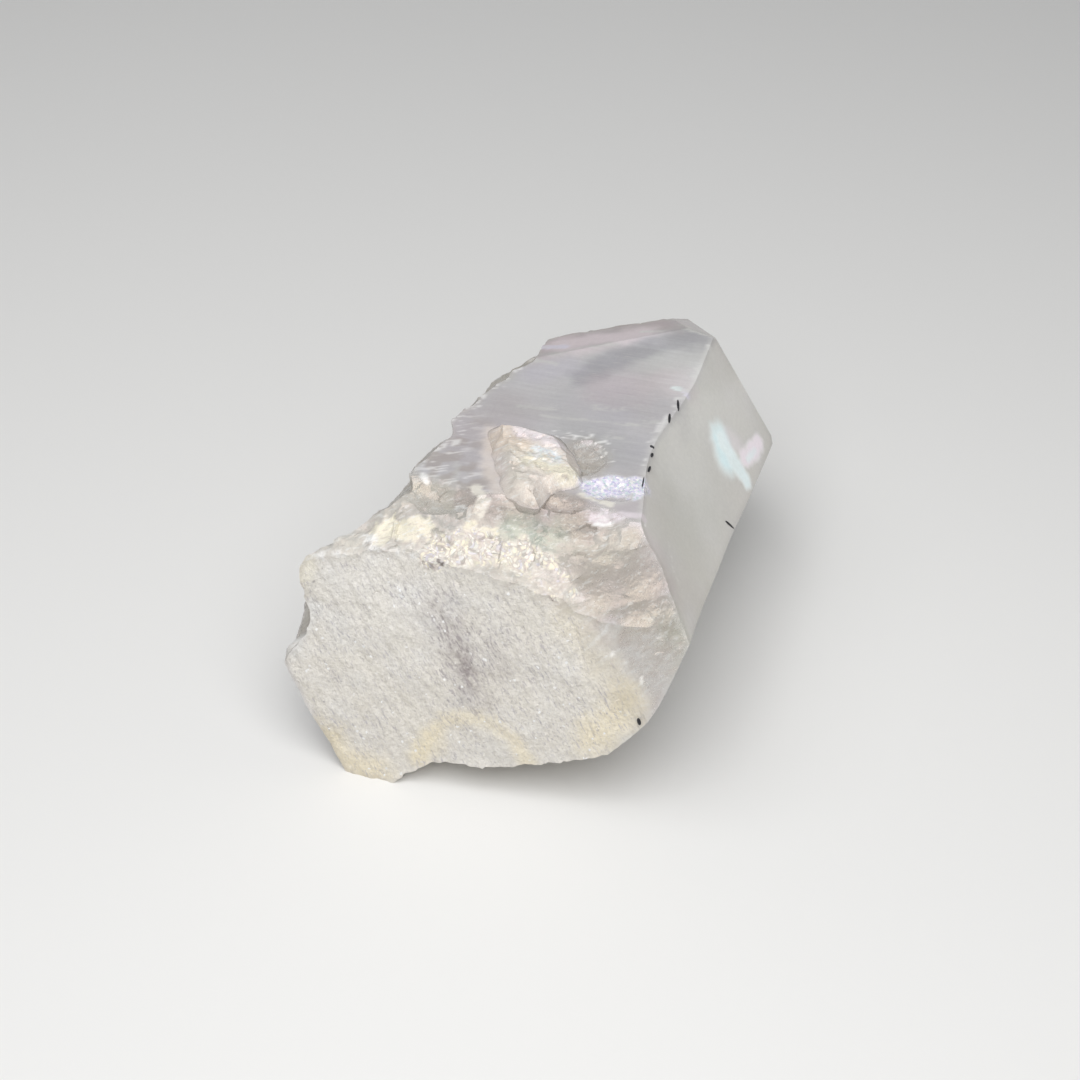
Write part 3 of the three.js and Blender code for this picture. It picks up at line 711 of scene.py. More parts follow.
def slab(face, corners):
    """The material outside one face.

    Its near side is the plane's grid, each point moved along the normal by the relief. Four
    far corners lie one depth behind it, and fans of triangles join them to its border.
    """
    across, along, out = axes_of(face)
    near = corners[np.abs(corners @ out - face["reach"]) < NEAR_PLANE]
    lines = []
    for axis, size in zip((across, along), face.get("cell", (FLAT_CELL, FLAT_CELL))):
        places = near @ axis
        lines.append(grid_lines(places.min() - FINE_MARGIN, places.max() + FINE_MARGIN, size, SLAB_SPAN))
    u, v = np.meshgrid(*lines, indexing="ij")
    flat = u.reshape(-1, 1) * across + v.reshape(-1, 1) * along + face["reach"] * out
    points = flat + relief(face, flat)[:, None] * out
    grid = np.arange(u.size).reshape(u.shape)
    border = [grid[:, 0], grid[-1, :], grid[::-1, -1], grid[0, ::-1]]
    far = flat[[side[0] for side in border]] + SLAB_DEPTH * out
    first = len(points)
    faces = [grid_triangles(grid)]
    for turn, side in enumerate(border):
        low, high = first + turn, first + (turn + 1) % 4
        fan = np.stack([side[:-1], side[1:], np.full(len(side) - 1, low)], -1)
        faces.append(np.concatenate([fan, [[side[-1], high, low]]]))
    faces.append(np.array([[first, first + 1, first + 2], [first, first + 2, first + 3]]))
    return new_object("slab", np.concatenate([points, far]), np.concatenate(faces))


def scoop(hollow):
    """A round body with a rough skin.

    A point is the middle plus the half sizes times (sin a cos b, sin a sin b, cos a), moved
    outwards by its relief. The poles are single points.
    """
    around = round(2 * math.pi * hollow["half"].max() / hollow["cell"])
    down = around // 2
    a, b = np.meshgrid(np.arange(1, down) * math.pi / down, np.arange(around) * 2 * math.pi / around,
                       indexing="ij")
    a, b = a.ravel(), b.ravel()
    outward = np.stack([np.sin(a) * np.cos(b), np.sin(a) * np.sin(b), np.cos(a)], axis=1)
    outward = np.concatenate([outward, [[0, 0, 1], [0, 0, -1]]])
    points = hollow["at"] + outward * hollow["half"]
    points += outward * relief(hollow, points)[:, None]
    return new_object("scoop", points, ring_triangles(down - 1, around, flip=True))


def crust_plate():
    """The crust's plate.

    Its outline is walked in even steps and moved in or out along its normal: by a fixed
    amount at each height, which gives the slanting side, and by a little noise. Both ends are
    closed by a fan.
    """
    corners = np.array(CRUST_OUTLINE, float)[::-1]
    after = np.roll(corners, -1, axis=0)
    lengths = np.linalg.norm(after - corners, axis=1)
    places = np.concatenate([[0], np.cumsum(lengths)])
    walk = np.arange(0, places[-1], CRUST_STEP)
    closed = np.concatenate([corners, corners[:1]])
    line = np.stack([np.interp(walk, places, closed[:, axis]) for axis in (0, 1)], axis=1)
    tangent = np.roll(line, -2, axis=0) - np.roll(line, 2, axis=0)
    normal = np.stack([tangent[:, 1], -tangent[:, 0]], axis=1)
    normal /= np.linalg.norm(normal, axis=1)[:, None]
    base = HEIGHT - CRUST_SUNK
    half = CRUST_FOOT * CRUST_RISE
    levels = [(base - 2 * CRUST_RISE, -half), (base, half)]
    for t in np.linspace(0, 1, CRUST_LEVELS):
        levels.append((HEIGHT + 2 * CRUST_RISE * t, half - CRUST_SLANT * CRUST_RISE * t))
    rings = []
    for height, outwards in levels:
        ring = np.column_stack([line + normal * outwards, np.full(len(line), height)])
        ring[:, :2] += normal * (CRUST_WOBBLE[1] * roughness(ring, CRUST_WOBBLE[0]))[:, None]
        rings.append(ring)
    middle = line.mean(0)
    points = np.concatenate([*rings, [[*middle, levels[0][0]], [*middle, levels[-1][0]]]])
    return new_object("crust", points, ring_triangles(len(levels), len(line)))


def combine(stone, tool, operation):
    """Joins a solid to the stone or cuts it out of it, and removes the solid."""
    step = stone.modifiers.new("step", "BOOLEAN")
    step.solver = "MANIFOLD"
    step.operation = operation
    step.object = tool
    graph = bpy.context.evaluated_depsgraph_get()
    made = bpy.data.meshes.new_from_object(stone.evaluated_get(graph))
    stone.modifiers.clear()
    old, stone.data = stone.data, made
    bpy.data.meshes.remove(old)
    bpy.data.meshes.remove(tool.data)


def block():
    """The plain block that everything is cut from, as eight corners and twelve triangles."""
    low, high = np.array(BLOCK_LOW), np.array(BLOCK_HIGH)
    corners = np.array([[i & 1, (i >> 1) & 1, i >> 2] for i in range(8)])
    sides = ((0, 2, 3, 1), (4, 5, 7, 6), (0, 1, 5, 4), (2, 6, 7, 3), (0, 4, 6, 2), (1, 3, 7, 5))
    faces = np.array([half for a, b, c, d in sides for half in ((a, b, c), (a, c, d))])
    return new_object("block", low + corners * (high - low), faces)


def crust_cover(points):
    """True on the crust: above the top face, and within the crust's outline or just outside."""
    outline = np.array(CRUST_OUTLINE, float)
    x, y = points[:, 0], points[:, 1]
    inside = np.zeros(len(points), bool)
    away = np.full(len(points), np.inf)
    for (x0, y0), (x1, y1) in zip(outline, np.roll(outline, -1, axis=0)):
        run_x, run_y = x1 - x0, y1 - y0
        crosses = (y0 > y) != (y1 > y)
        inside ^= crosses & (x < run_x * (y - y0) / (run_y + 1e-12) + x0)
        along = np.clip(((x - x0) * run_x + (y - y0) * run_y) / (run_x ** 2 + run_y ** 2), 0, 1)
        away = np.minimum(away, np.hypot(x - x0 - along * run_x, y - y0 - along * run_y))
    return (inside | (away < CRUST_RISE)) & (points[:, 2] > HEIGHT + CRUST_SEAM)


def largest_part(points, triangles):
    """Only the body with the most points.

    Each point takes the lowest number among its neighbours until none changes.
    """
    label = np.arange(len(points))
    ends = np.concatenate([triangles[:, :2], triangles[:, 1:], triangles[:, ::2]])
    while True:
        low = np.minimum(label[ends[:, 0]], label[ends[:, 1]])
        new = label.copy()
        np.minimum.at(new, ends[:, 0], low)
        np.minimum.at(new, ends[:, 1], low)
        new = new[new]
        if np.array_equal(new, label):
            break
        label = new
    kept = label == np.bincount(label).argmax()
    number = np.cumsum(kept) - 1
    return points[kept], number[triangles[kept[triangles[:, 0]]]]


def arrays_of(mesh):
    """A mesh's points and triangles as arrays."""
    points = np.zeros(len(mesh.vertices) * 3, np.float32)
    mesh.vertices.foreach_get("co", points)
    mesh.calc_loop_triangles()
    triangles = np.zeros(len(mesh.loop_triangles) * 3, np.int32)
    mesh.loop_triangles.foreach_get("vertices", triangles)
    return points.reshape(-1, 3).astype(float), triangles.reshape(-1, 3)


def distance_to(points, path):
    """The distance to the nearest piece of the line through the path's points."""
    path = np.array(path, float)
    nearest = np.full(len(points), np.inf)
    for start, end in zip(path[:-1], path[1:]):
        run = end - start
        along = np.clip((points - start) @ run / (run @ run), 0, 1)
        nearest = np.minimum(nearest, np.linalg.norm(points - start - along[:, None] * run, axis=1))
    return nearest


def crumbs(points, size):
    """Two layers of random height, the first on a turned lattice, so that no lattice shows."""
    first, second, finer = CRUMB_LAYERS
    return first * roughness(points @ TURNED, size) + second * roughness(points, finer * size)


def smooth_step(value, low, high):
    """0 up to low, 1 from high, and 3t^2 - 2t^3 between them."""
    t = np.clip((value - low) / (high - low), 0, 1)
    return t * t * (3 - 2 * t)


def toward(values, target, share):
    """Rows of values moved towards a target, each by its own share of the way."""
    return values + share[:, None] * (target - values)


def nearness(points):
    """How near each point lies to every face and hollow, and the distances.

    The nearness is exp(-(distance / softness)^2), and the distance is the height over the
    plane or the round body, less the relief there.
    """
    distances = []
    for face in FACES:
        out = axes_of(face)[2]
        height = points @ out - face["reach"]
        near = np.abs(height) < NEAR_SURFACE
        height[near] -= relief(face, points[near] - height[near, None] * out)
        distances.append(np.abs(height))
    for hollow in SCOOPS:
        away = points - hollow["at"]
        size = np.linalg.norm(away / hollow["half"], axis=1)
        on_ball = hollow["at"] + away / size[:, None]
        height = np.linalg.norm(away, axis=1) * (1 - 1 / size) - relief(hollow, on_ball)
        distances.append(np.abs(height))
    distances = np.array(distances)
    return np.exp(-(distances / KIND_SOFTNESS) ** 2) + FAINT, distances


def mark_cover(mark, points, away):
    """A mark's strength at points near it: 1 inside, and 0 past its wandering border."""
    least, part = BORDER_LUMP
    away = away + mark["wander"] * crumbs(points, max(least, part * mark["radius"]))
    cover = 1 - smooth_step(away, 1 - mark["soft"], 1 + mark["soft"])
    if mark["broken"]:
        size, level, *run = mark["broken"]
        gaps = crumbs(stretched(points, *run), size)
        cover *= smooth_step(gaps, level - BROKEN_BLUR, level + BROKEN_BLUR)
    return cover


def painted(points, colours):
    """The stone's colour, clearness, gloss and masks at each point.

    Every face gives its kind and colour in proportion to its nearness. Slow noise leans the
    clear faces towards rose, green and lilac, the veiled one less: the film's sheen, painted
    into the colour. Their edges are worn white, and the marks are laid over that in order;
    some marks are painted glints, highlights, shadows and light.
    """
    hues = {name: np.array(getattr(colours, name)) for name in colours.__annotations__}
    weights, distances = nearness(points)
    crust = crust_cover(points)
    surfaces = [*FACES, *SCOOPS, CRUST_TOP]
    weights[:, crust] = FAINT
    weights = np.vstack([weights, crust.astype(float)])
    weights /= weights.sum(axis=0)
    hue = (np.array([hues[surface["hue"]] for surface in surfaces]).T @ weights).T
    clear, gloss = np.array([KINDS[surface["kind"]] for surface in surfaces]).T @ weights
    kinds = dict.fromkeys(KINDS, 0.0)
    for surface, weight in zip(surfaces, weights):
        kinds[surface["kind"]] = kinds[surface["kind"]] + weight
    see_through = smooth_step(clear, *SEE_THROUGH)
    for name, size, shift, most in SHEENS:
        cloud = smooth_step(roughness(points + shift, size), *SHEEN_LEVELS) * see_through * most
        hue = toward(hue, hues[name], cloud * (1 - VEIL * kinds["veiled"]))
    worn = np.exp(-(np.sort(distances, axis=0)[1] / EDGE_SOFTNESS) ** 2)
    worn *= smooth_step(roughness(points, WEAR_LUMP), *WEAR_LEVELS) * EDGE_WEAR * see_through
    hue = toward(hue, hues["white"], worn)
    masks = {name: np.zeros(len(points)) for name in MASKS}
    masks["lines"] += TOP_LINES * weights[0]
    for mark in MARKS:
        away = distance_to(points, mark["path"]) / mark["radius"]
        near = np.flatnonzero(away < 1 + mark["soft"] + mark["wander"])
        if len(near) == 0:
            continue
        cover = mark_cover(mark, points[near], away[near])
        hue[near] = toward(hue[near], hues[mark["hue"]], cover * mark["share"])
        if mark["clear"] is not None:
            clear[near] += cover * (mark["clear"] - clear[near])
        for name, mask_of in masks.items():
            mask_of[near] = np.maximum(mask_of[near] * (1 - cover * mark["bare"]), cover * mark[name])
    broken = sum(part * kinds[kind] for kind, part in BROKEN_KINDS.items())
    return {"hue": hue, "clearness": clear, "gloss": gloss, "sugar": kinds["sugar"],
            "crust": kinds["crust"], "broken": broken, **masks}


def add(tree, kind, inputs=(), **settings):
    """A shader node with its settings.

    Each input, by name or number, is linked to a socket or set to a value.
    """
    node = tree.nodes.new("ShaderNode" + kind)
    for name, value in settings.items():
        setattr(node, name, value)
    for name, value in dict(inputs).items():
        if isinstance(value, bpy.types.NodeSocket):
            tree.links.new(value, node.inputs[name])
        else:
            node.inputs[name].default_value = value
    return node


def calc(tree, operation, a, b=0.0, c=0.0):
    """The result of one sum on numbers."""
    return add(tree, "Math", {0: a, 1: b, 2: c}, operation=operation).outputs[0]


def times(tree, a, b):
    """The product of two numbers."""
    return calc(tree, "MULTIPLY", a, b)


def vector(tree, operation, a, b=None, scale=None):
    """The result of one sum on vectors, or on a vector and its scale."""
    given = {0: a, 1: b, "Scale": scale}
    given = {name: value for name, value in given.items() if value is not None}
    node = add(tree, "VectorMath", given, operation=operation)
    return node.outputs["Value" if operation == "DOT_PRODUCT" else "Vector"]


def ramp(tree, value, low, high, to_low=0.0, to_high=1.0):
    """A value carried from one range to another, and held at its ends."""
    ends = {"From Min": low, "From Max": high, "To Min": to_low, "To Max": to_high}
    return add(tree, "MapRange", {"Value": value, **ends}, clamp=True).outputs["Result"]


def mingle(tree, share, a, b, how="MIX"):
    """Two colours mixed by a share."""
    node = add(tree, "Mix", {0: share, 6: a, 7: b}, data_type="RGBA", blend_type=how)
    return node.outputs[2]


def noise(tree, where, size, detail=2.0, rough=0.5):
    """Cloudy noise with lumps of a size in millimetres."""
    node = add(tree, "TexNoise", {"Vector": where, "Scale": 1 / (size * MM), "Detail": detail,
                                  "Roughness": rough})
    return node.outputs["Fac"]


def streak_space(tree, where, run, stretch):
    """The place with its part along a direction divided by the stretch, so that a pattern runs that way."""
    run = Vector(run).normalized()
    along = vector(tree, "DOT_PRODUCT", where, run)
    moved = vector(tree, "SCALE", run, scale=along)
    less = vector(tree, "SCALE", moved, scale=1 / stretch - 1)
    return vector(tree, "ADD", where, less)


def layer(tree, name, socket="Fac"):
    """A value or colour of the mesh's own points."""
    return add(tree, "Attribute", attribute_name=name, attribute_type="GEOMETRY").outputs[socket]


def cells(tree, where, size):
    """Random cells of a width in metres, each with a random colour, and the distance from its middle."""
    return add(tree, "TexVoronoi", {"Vector": where, "Scale": 1 / size}, feature="F1").outputs


def parts(tree, colour):
    """The red, green and blue of a colour, which are three random numbers for one of a cell."""
    return add(tree, "SeparateColor", {0: colour}).outputs


def leaning(tree, normal, random, amount):
    """The normal leaned by a cell's random colour less one half, times an amount."""
    lean = vector(tree, "SCALE", vector(tree, "SUBTRACT", random, HALF), scale=amount)
    return vector(tree, "NORMALIZE", vector(tree, "ADD", normal, lean))


def new_material(name):
    """A material without nodes, and the tree that they go into."""
    material = bpy.data.materials.new(name)
    material.use_nodes = True
    tree = material.node_tree
    tree.nodes.clear()
    return material, tree


def growth_lines(tree, place, colour, paint, sizes):
    """Growth lines and short white dashes that run across the crystal."""
    lines = layer(tree, "lines")
    across = streak_space(tree, place, *LINES)
    fine = ramp(tree, noise(tree, across, LINE_SIZE, detail=2, rough=0.8), 0.3, 0.7)
    lined = mingle(tree, 1.0, colour, mingle(tree, fine, LINE_DIM, WHITE), "MULTIPLY")
    colour = mingle(tree, ramp(tree, lines, 0.0, 0.35), colour, lined)
    dashes = noise(tree, streak_space(tree, place, *DASHES), sizes.scratch / MM, detail=1, rough=0.5)
    return mingle(tree, times(tree, ramp(tree, dashes, 0.68, 0.72), lines), colour, paint["white"])


def sugary(tree, place, colour, normal, paint, sizes):
    """Sugary grain: short slanting pits, a few grains painted white as glints, dim grains, and facets that
    lean their own way.
    """
    sugar, pitted = layer(tree, "sugar"), layer(tree, "pitted")
    pits = noise(tree, streak_space(tree, place, *PITS), sizes.grain / MM, detail=2, rough=0.65)
    pits = calc(tree, "SUBTRACT", pits, times(tree, pitted, 0.08))
    deep = ramp(tree, pits, 0.34, 0.4, 0.85, 0.0)
    pits = calc(tree, "MAXIMUM", ramp(tree, pits, 0.36, 0.5, 0.4, 0.0), deep)
    patches = ramp(tree, noise(tree, place, 4, detail=0), 0.35, 0.65, 0.35, 1.0)
    pits = times(tree, times(tree, pits, calc(tree, "MAXIMUM", patches, pitted)), sugar)
    colour = mingle(tree, pits, colour, mingle(tree, pitted, paint["pit"], paint["smudge"]))
    grains = cells(tree, place, sizes.grain)["Color"]
    grain = parts(tree, grains)
    # Painted glints: the few grains that are painted white
    bright = times(tree, ramp(tree, grain["Red"], 0.99, 0.995), sugar)
    dim = times(tree, ramp(tree, grain["Green"], 0.0, 0.6, 0.16, 0.0), sugar)
    colour = mingle(tree, dim, mingle(tree, bright, colour, paint["white"]), paint["pit"])
    return colour, leaning(tree, normal, grains, times(tree, sugar, GRAIN_LEAN))


def veined(tree, place, colour, paint):
    """White and brown veins and crumbs that run up to the right through the broken faces."""
    broken = calc(tree, "MAXIMUM", layer(tree, "broken"), layer(tree, "crust"))
    veins = noise(tree, streak_space(tree, place, *VEINS), VEIN_SIZE, detail=2, rough=0.7)
    light = times(tree, ramp(tree, veins, 0.57, 0.64, 0.0, 0.6), broken)
    dark = times(tree, ramp(tree, veins, 0.34, 0.45, 0.55, 0.0), broken)
    return mingle(tree, dark, mingle(tree, light, colour, paint["white"]), paint["brown"])


def flaky(tree, place, colour, normal, paint, sizes):
    """Cream flakes with dim borders, and glittering facets whose violet, blue and white colours are painted
    glints.
    """
    flaked, glitter = layer(tree, "flakes"), layer(tree, "glitter")
    lump, bend = FLAKE_BEND
    bent = add(tree, "TexNoise", {"Vector": place, "Scale": 1 / (lump * MM), "Detail": 0.0}).outputs["Color"]
    bent = vector(tree, "SCALE", vector(tree, "SUBTRACT", bent, HALF), scale=bend * MM)
    chips = cells(tree, vector(tree, "ADD", place, bent), sizes.flake)
    chip = parts(tree, chips["Color"])
    pearl = mingle(tree, ramp(tree, chip["Red"], 0.35, 0.75), paint["ground"], paint["flake"])
    pearl = mingle(tree, ramp(tree, chip["Green"], 0.8, 0.9, 0.0, 0.6), pearl, paint["lilac"])
    pearl = mingle(tree, ramp(tree, chip["Blue"], 0.7, 0.9), pearl, paint["butter"])
    pearl = mingle(tree, ramp(tree, chips["Distance"], 0.45, 0.7, 0.0, 0.8), pearl, paint["brown"])
    colour = mingle(tree, flaked, colour, pearl)
    # The glittering facets' colours are painted glints
    facets = cells(tree, place, sizes.glitter)["Color"]
    facet = parts(tree, facets)
    glint_colour = mingle(tree, ramp(tree, facet["Red"], 0.55, 0.8), paint["lilac"], paint["white"])
    glint_colour = mingle(tree, ramp(tree, facet["Green"], 0.6, 0.8, 0.0, 0.8), glint_colour, paint["aqua"])
    glint_colour = mingle(tree, ramp(tree, facet["Blue"], 0.6, 0.95, 0.0, 0.9), glint_colour, paint["violet"])
    colour = mingle(tree, glitter, colour, glint_colour)
    normal = leaning(tree, normal, chips["Color"], times(tree, flaked, FLAKE_LEAN))
    normal = leaning(tree, normal, facets, times(tree, glitter, GLITTER_LEAN))
    return colour, normal, calc(tree, "MAXIMUM", flaked, glitter)


def quartz_material(name, colours, sizes, finishes):
    """Quartz under a thin pearly film, with the finishes that its part of the stone has."""
    material, tree = new_material(name)
    paint = {name: (*getattr(colours, name), 1.0) for name in colours.__annotations__}
    place = add(tree, "TexCoord").outputs["Object"]
    colour, clearness, gloss = layer(tree, "hue", "Color"), layer(tree, "clearness"), layer(tree, "gloss")
    cloud = ramp(tree, noise(tree, place, 0.5, detail=2, rough=0.8), 0.3, 0.7)
    film = ramp(tree, noise(tree, place, 3, detail=0), 0.25, 0.75, sizes.film - sizes.film_play / 2,
                sizes.film + sizes.film_play / 2)
    uneven = CLEAR_UNEVEN
    thrown = vector(tree, "SCALE", FLASH_RUN, scale=times(tree, layer(tree, "flash"), FLASH_STRENGTH))
    normal = add(tree, "NewGeometry").outputs["Normal"]
    normal = vector(tree, "NORMALIZE", vector(tree, "ADD", normal, thrown))
    if "lines" in finishes:
        colour = growth_lines(tree, place, colour, paint, sizes)
    if "sugar" in finishes:
        colour, normal = sugary(tree, place, colour, normal, paint, sizes)
        uneven = calc(tree, "ADD", uneven, times(tree, layer(tree, "sugar"), SUGAR_UNEVEN))
    if "broken" in finishes:
        broken = calc(tree, "ADD", layer(tree, "crust"), layer(tree, "broken"))
        uneven = calc(tree, "ADD", uneven, broken)
        film = calc(tree, "SUBTRACT", film, times(tree, broken, FILM_THINNER))
        colour = veined(tree, place, colour, paint)
    if "flakes" in finishes:
        colour, normal, milky = flaky(tree, place, colour, normal, paint, sizes)
        clearness = times(tree, clearness, ramp(tree, milky, 0.0, 1.0, 1.0, MILKY))
    colour = mingle(tree, 1.0, colour, mingle(tree, cloud, CLOUD_DIM, WHITE), "MULTIPLY")
    height = times(tree, noise(tree, place, BUMP_SIZE, detail=2, rough=0.7), uneven)
    bump = {"Height": height, "Strength": 1.0, "Distance": sizes.bump, "Normal": normal}
    surface = add(tree, "BsdfPrincipled", {
        "Base Color": colour,
        "Roughness": calc(tree, "ADD", gloss, ramp(tree, cloud, 0.0, 1.0, -0.04, 0.06)),
        "Transmission Weight": clearness,
        "IOR": QUARTZ_INDEX,
        "Normal": add(tree, "Bump", bump).outputs[0],
        "Thin Film Thickness": film,
        "Thin Film IOR": FILM_INDEX,
    })
    inside = add(tree, "VolumeAbsorption", {"Color": paint["depth"], "Density": sizes.depth})
    add(tree, "OutputMaterial", {"Surface": surface.outputs[0], "Volume": inside.outputs[0]})
    return material


def sliver_material(sliver):
    """Black, glassy mineral with a faint brown mottling."""
    material, tree = new_material("black_mineral")
    place = add(tree, "TexCoord").outputs["Object"]
    cloud = ramp(tree, noise(tree, place, 0.15, detail=3, rough=0.6), 0.35, 0.65)
    brown = [min(1.0, 3 * part) for part in sliver]
    surface = add(tree, "BsdfPrincipled", {
        "Base Color": mingle(tree, cloud, (*sliver, 1.0), (*brown, 1.0)),
        "Roughness": ramp(tree, cloud, 0.0, 1.0, 0.3, 0.5),
        "Normal": add(tree, "Bump", {"Height": cloud, "Strength": 0.4, "Distance": 0.02 * MM}).outputs[0],
    })
    add(tree, "OutputMaterial", {"Surface": surface.outputs[0]})
    return material


def floor_material(pale):
    """Matt pale paper."""
    material, tree = new_material("pale_paper")
    surface = add(tree, "BsdfPrincipled", {"Base Color": (*pale, 1.0), "Roughness": 0.7})
    add(tree, "OutputMaterial", {"Surface": surface.outputs[0]})
    return material


def sweep(radius, floor, height):
    """The floor and its backdrop: a flat disc that turns up into a wall all round.

    The profile goes out along the floor, round a quarter circle and up. It is turned about
    the Z axis in even steps.
    """
    turn = radius - floor
    quarter = np.linspace(0, math.pi / 2, TURN_STEPS)[1:]
    innermost, second = FLOOR_START
    out = np.concatenate([[innermost], np.linspace(second, floor, FLOOR_STEPS),
                          floor + turn * np.sin(quarter), [radius]])
    up = np.concatenate([np.zeros(FLOOR_STEPS + 1), turn * (1 - np.cos(quarter)), [height]])
    angle = np.arange(FLOOR_SIDES) * 2 * math.pi / FLOOR_SIDES
    points = np.stack([np.outer(out, np.cos(angle)), np.outer(out, np.sin(angle)),
                       np.repeat(up[:, None], FLOOR_SIDES, axis=1)], axis=-1).reshape(-1, 3)
    points = np.concatenate([points, [[0, 0, 0]]])
    made = new_object("floor", points, ring_triangles(len(out), FLOOR_SIDES, flip=True, ends=1))
    made.data.shade_smooth()
    return made


def needles(ends, widths):
    """Tapered round needles, as points and triangles.

    A point lies t of the way from one end to the other, and off that line by half the width
    times sqrt(4 t (1 - t)), turned by the angle about the line. Each end is one point.
    """
    start, end = ends[:, 0], ends[:, 1]
    run = end - start
    run_unit = run / np.linalg.norm(run, axis=1)[:, None]
    side = np.cross(run_unit, SLIVER_ASIDE)
    side /= np.linalg.norm(side, axis=1)[:, None]
    other = np.cross(run_unit, side)
    t = np.linspace(0, 1, SLIVER_RINGS + 2)[1:-1]
    angle = np.arange(SLIVER_SIDES) * 2 * math.pi / SLIVER_SIDES
    off = np.sqrt(4 * t * (1 - t))[None, :, None, None] * (
        np.cos(angle)[:, None] * side[:, None, None] + np.sin(angle)[:, None] * other[:, None, None])
    half = widths[:, None, None, None] / 2
    rings = start[:, None, None] + t[None, :, None, None] * run[:, None, None] + half * off
    count = len(ends)
    points = np.concatenate([rings.reshape(count, -1, 3), start[:, None], end[:, None]], axis=1)
    one = ring_triangles(SLIVER_RINGS, SLIVER_SIDES)
    triangles = one[None] + (np.arange(count) * points.shape[1])[:, None, None]
    return points.reshape(-1, 3), triangles.reshape(-1, 3)


def lamp(name, place, target, size, power):
    """A round soft lamp that shines at the target."""
    data = bpy.data.lights.new(name, "AREA")
    data.shape = "DISK"
    data.size = size
    data.energy = power
    made = bpy.data.objects.new(name, data)
    made.location = place
    made.rotation_euler = (target - place).to_track_quat("-Z", "Y").to_euler()
    bpy.context.scene.collection.objects.link(made)


def soft_room(scene, strength):
    """The even light of the room."""
    world = bpy.data.worlds.new("soft_room")
    world.use_nodes = True
    background = world.node_tree.nodes["Background"].inputs
    background["Color"].default_value = ROOM_COLOUR
    background["Strength"].default_value = strength
    scene.world = world


def look(scene, place, back, lens):
    """The camera, looking against the direction that leads back to it."""
    data = bpy.data.cameras.new("camera")
    data.lens = lens
    data.sensor_width = SENSOR
    data.clip_start = CLIP_START
    camera = bpy.data.objects.new("camera", data)
    camera.location = place
    camera.rotation_euler = (-back).to_track_quat("-Z", "Y").to_euler()
    scene.collection.objects.link(camera)
    scene.camera = camera


def paint_layers(mesh, layers):
    """Puts each layer of the paint into the mesh's points, the hue as a colour."""
    for name, value in layers.items():
        if value.ndim == 2:
            attribute = mesh.attributes.new(name, "FLOAT_COLOR", "POINT")
            value = np.column_stack([value, np.ones(len(value))])
            attribute.data.foreach_set("color", value.astype(np.float32).ravel())
        else:
            attribute = mesh.attributes.new(name, "FLOAT", "POINT")
            attribute.data.foreach_set("value", value.astype(np.float32))


def finish_of(triangles, layers):
    """Which material each triangle takes: clear where it has no grain or flakes, and else what covers it."""
    def shows(name):
        return layers[name][triangles].max(axis=1) > MASK_SHOWS
    number_of = np.where(shows("crust") | shows("broken"), 2, 0) + shows("sugar")
    return np.where(shows("flakes") | shows("glitter"), 4, number_of).astype(np.int32)


class QUARTZ_OT_stage(bpy.types.Operator):
    """Makes the pale floor, the room light, two soft lamps and the camera"""

    bl_idname = "quartz.stage"
    bl_label = "Stage"

    def execute(self, context):
        scene, settings = context.scene, context.scene.stage_settings
        floor = sweep(settings.wall_radius, settings.floor_radius, settings.wall_height)
        floor.data.materials.append(floor_material(settings.floor))
        soft_room(scene, settings.room)
        scene.view_settings.view_transform = "Standard"
        target = Vector((ORIGIN[0] * MM, ORIGIN[1] * MM, settings.aim))
        around, up = settings.azimuth, settings.elevation
        back = Vector((math.sin(around) * math.cos(up), -math.cos(around) * math.cos(up), math.sin(up)))
        right = Vector((math.cos(around), math.sin(around), 0))
        ahead = Vector((-math.sin(around), math.cos(around), 0))
        for (name, place), power in zip(LAMPS, (settings.key, settings.fill)):
            spot_at = target + place[0] * right + place[1] * ahead + Vector((0, 0, place[2]))
            lamp(name, spot_at, target, settings.lamp_size, power)
        look(scene, target + back * settings.distance, back, settings.lens)
        return {"FINISHED"}


class QUARTZ_OT_stone(bpy.types.Operator):
    """Makes the stone: the faces and hollows cut out of a block, and the crust joined to it"""

    bl_idname = "quartz.stone"
    bl_label = "Quartz stone"

    def execute(self, context):
        sizes, colours = context.scene.quartz_sizes, context.scene.quartz_colours
        corners = arrays_of(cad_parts[SOLID].data)[0] / MM - ORIGIN
        stone = block()
        for face in FACES:
            combine(stone, slab(face, corners), "DIFFERENCE")
        for hollow in SCOOPS:
            combine(stone, scoop(hollow), "DIFFERENCE")
        crust = crust_plate()
        combine(crust, slab(CRUST_TOP, corners), "DIFFERENCE")
        combine(stone, crust, "UNION")
        points, triangles = largest_part(*arrays_of(stone.data))
        bpy.data.meshes.remove(stone.data)
        if len(triangles) > MOST_TRIANGLES:
            raise RuntimeError(f"the stone has {len(triangles)} triangles")
        piece = new_object(STONE, (points + ORIGIN) * MM, triangles)
        layers = painted(points, colours)
        paint_layers(piece.data, layers)
        piece.data.shade_smooth()
        piece.data.set_sharp_from_angle(angle=math.radians(SHARP_ANGLE))
        for name, finishes in MATERIALS:
            piece.data.materials.append(quartz_material(name, colours, sizes, finishes))
        piece.data.polygons.foreach_set("material_index", finish_of(triangles, layers))
        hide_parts(SOLID)
        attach(piece, BODY)
        return {"FINISHED"}


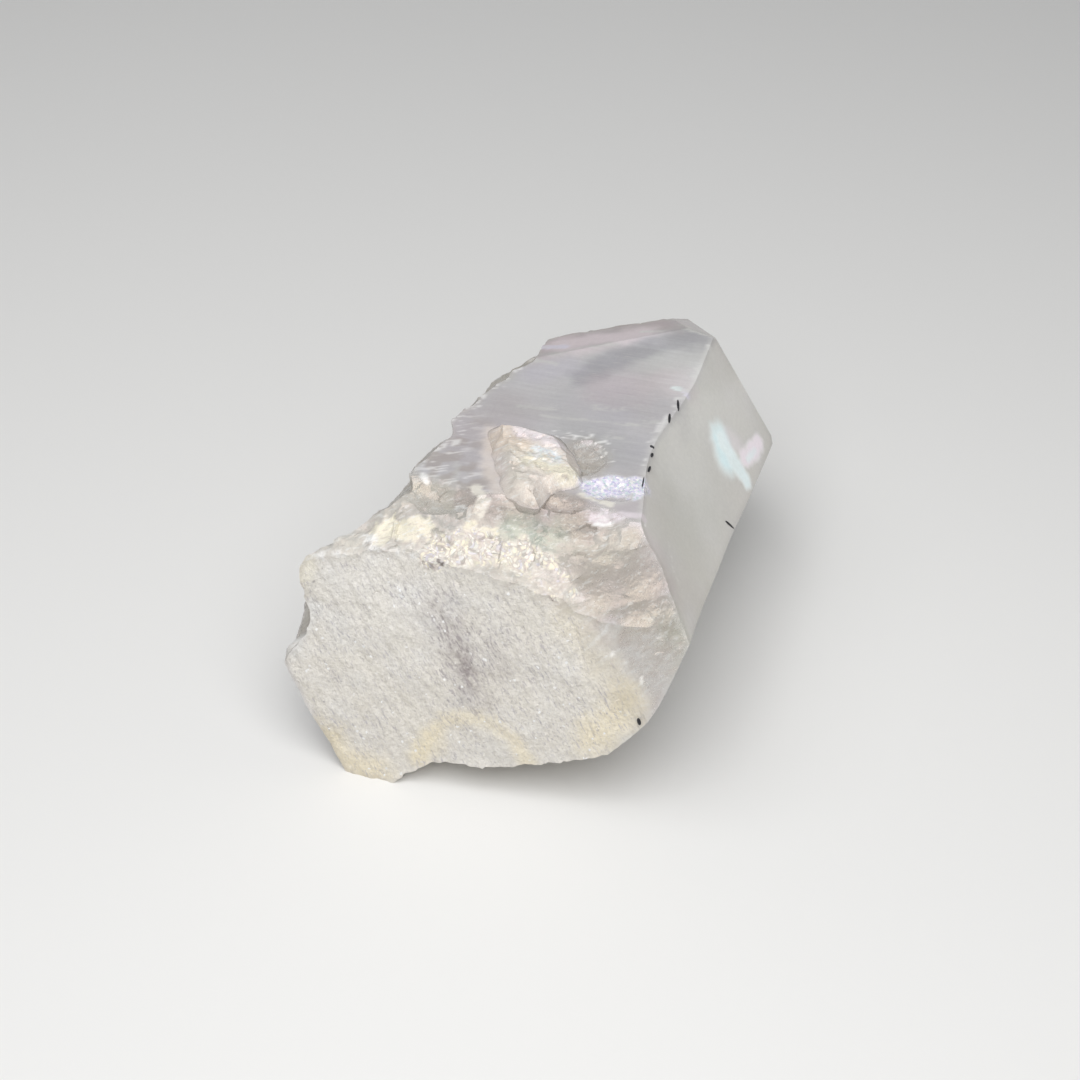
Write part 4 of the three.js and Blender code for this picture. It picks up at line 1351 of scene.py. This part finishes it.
class QUARTZ_OT_slivers(bpy.types.Operator):
    """Makes the dark slivers that lie half sunk in the stone"""

    bl_idname = "quartz.slivers"
    bl_label = "Dark slivers"

    def execute(self, context):
        widest = context.scene.quartz_sizes.sliver
        stone = bpy.data.objects[STONE]
        ends = []
        for *two_ends, width in SLIVERS:
            for point in two_ends:
                found, near, normal, _ = stone.closest_point_on_mesh(Vector(np.add(point, ORIGIN) * MM))
                if not found:
                    raise RuntimeError("a sliver lies off the stone")
                ends.append((np.array(near) + np.array(normal) * SLIVER_LIFT * width * widest) / MM)
        widths = np.array([width for *two_ends, width in SLIVERS]) * widest / MM
        points, triangles = needles(np.array(ends).reshape(-1, 2, 3), widths)
        piece = new_object("dark_slivers", points * MM, triangles)
        piece.data.shade_smooth()
        piece.data.materials.append(sliver_material(context.scene.quartz_colours.sliver))
        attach(piece, BODY)
        return {"FINISHED"}


class QUARTZ_PT_panel(bpy.types.Panel):
    """Lists the makers of the pieces and of the stage"""

    bl_idname = "QUARTZ_PT_panel"
    bl_label = "Rough quartz chunk"
    bl_space_type = "VIEW_3D"
    bl_region_type = "UI"
    bl_category = "Quartz"

    def draw(self, context):
        layout = self.layout
        for operator in OPERATORS:
            layout.operator(operator.bl_idname)
        for setting in SETTINGS:
            group = getattr(context.scene, setting)
            box = layout.box()
            for name in group.__annotations__:
                box.prop(group, name)


OPERATORS = (QUARTZ_OT_stage, QUARTZ_OT_stone, QUARTZ_OT_slivers)
SETTINGS = {"quartz_sizes": QuartzSizes, "quartz_colours": QuartzColours, "stage_settings": StageSettings}
CLASSES = (*SETTINGS.values(), *OPERATORS, QUARTZ_PT_panel)


def register():
    """Registers the classes and gives each scene its settings."""
    for made in CLASSES:
        bpy.utils.register_class(made)
    for name, group in SETTINGS.items():
        setattr(bpy.types.Scene, name, PointerProperty(type=group))


def unregister():
    """Takes the settings and the classes away again."""
    for name in SETTINGS:
        delattr(bpy.types.Scene, name)
    for made in reversed(CLASSES):
        bpy.utils.unregister_class(made)


def main():
    """Makes the stage, the stone and its slivers."""
    register()
    bpy.ops.quartz.stage()
    bpy.ops.quartz.stone()
    bpy.ops.quartz.slivers()


if __name__ == "__main__":
    main()
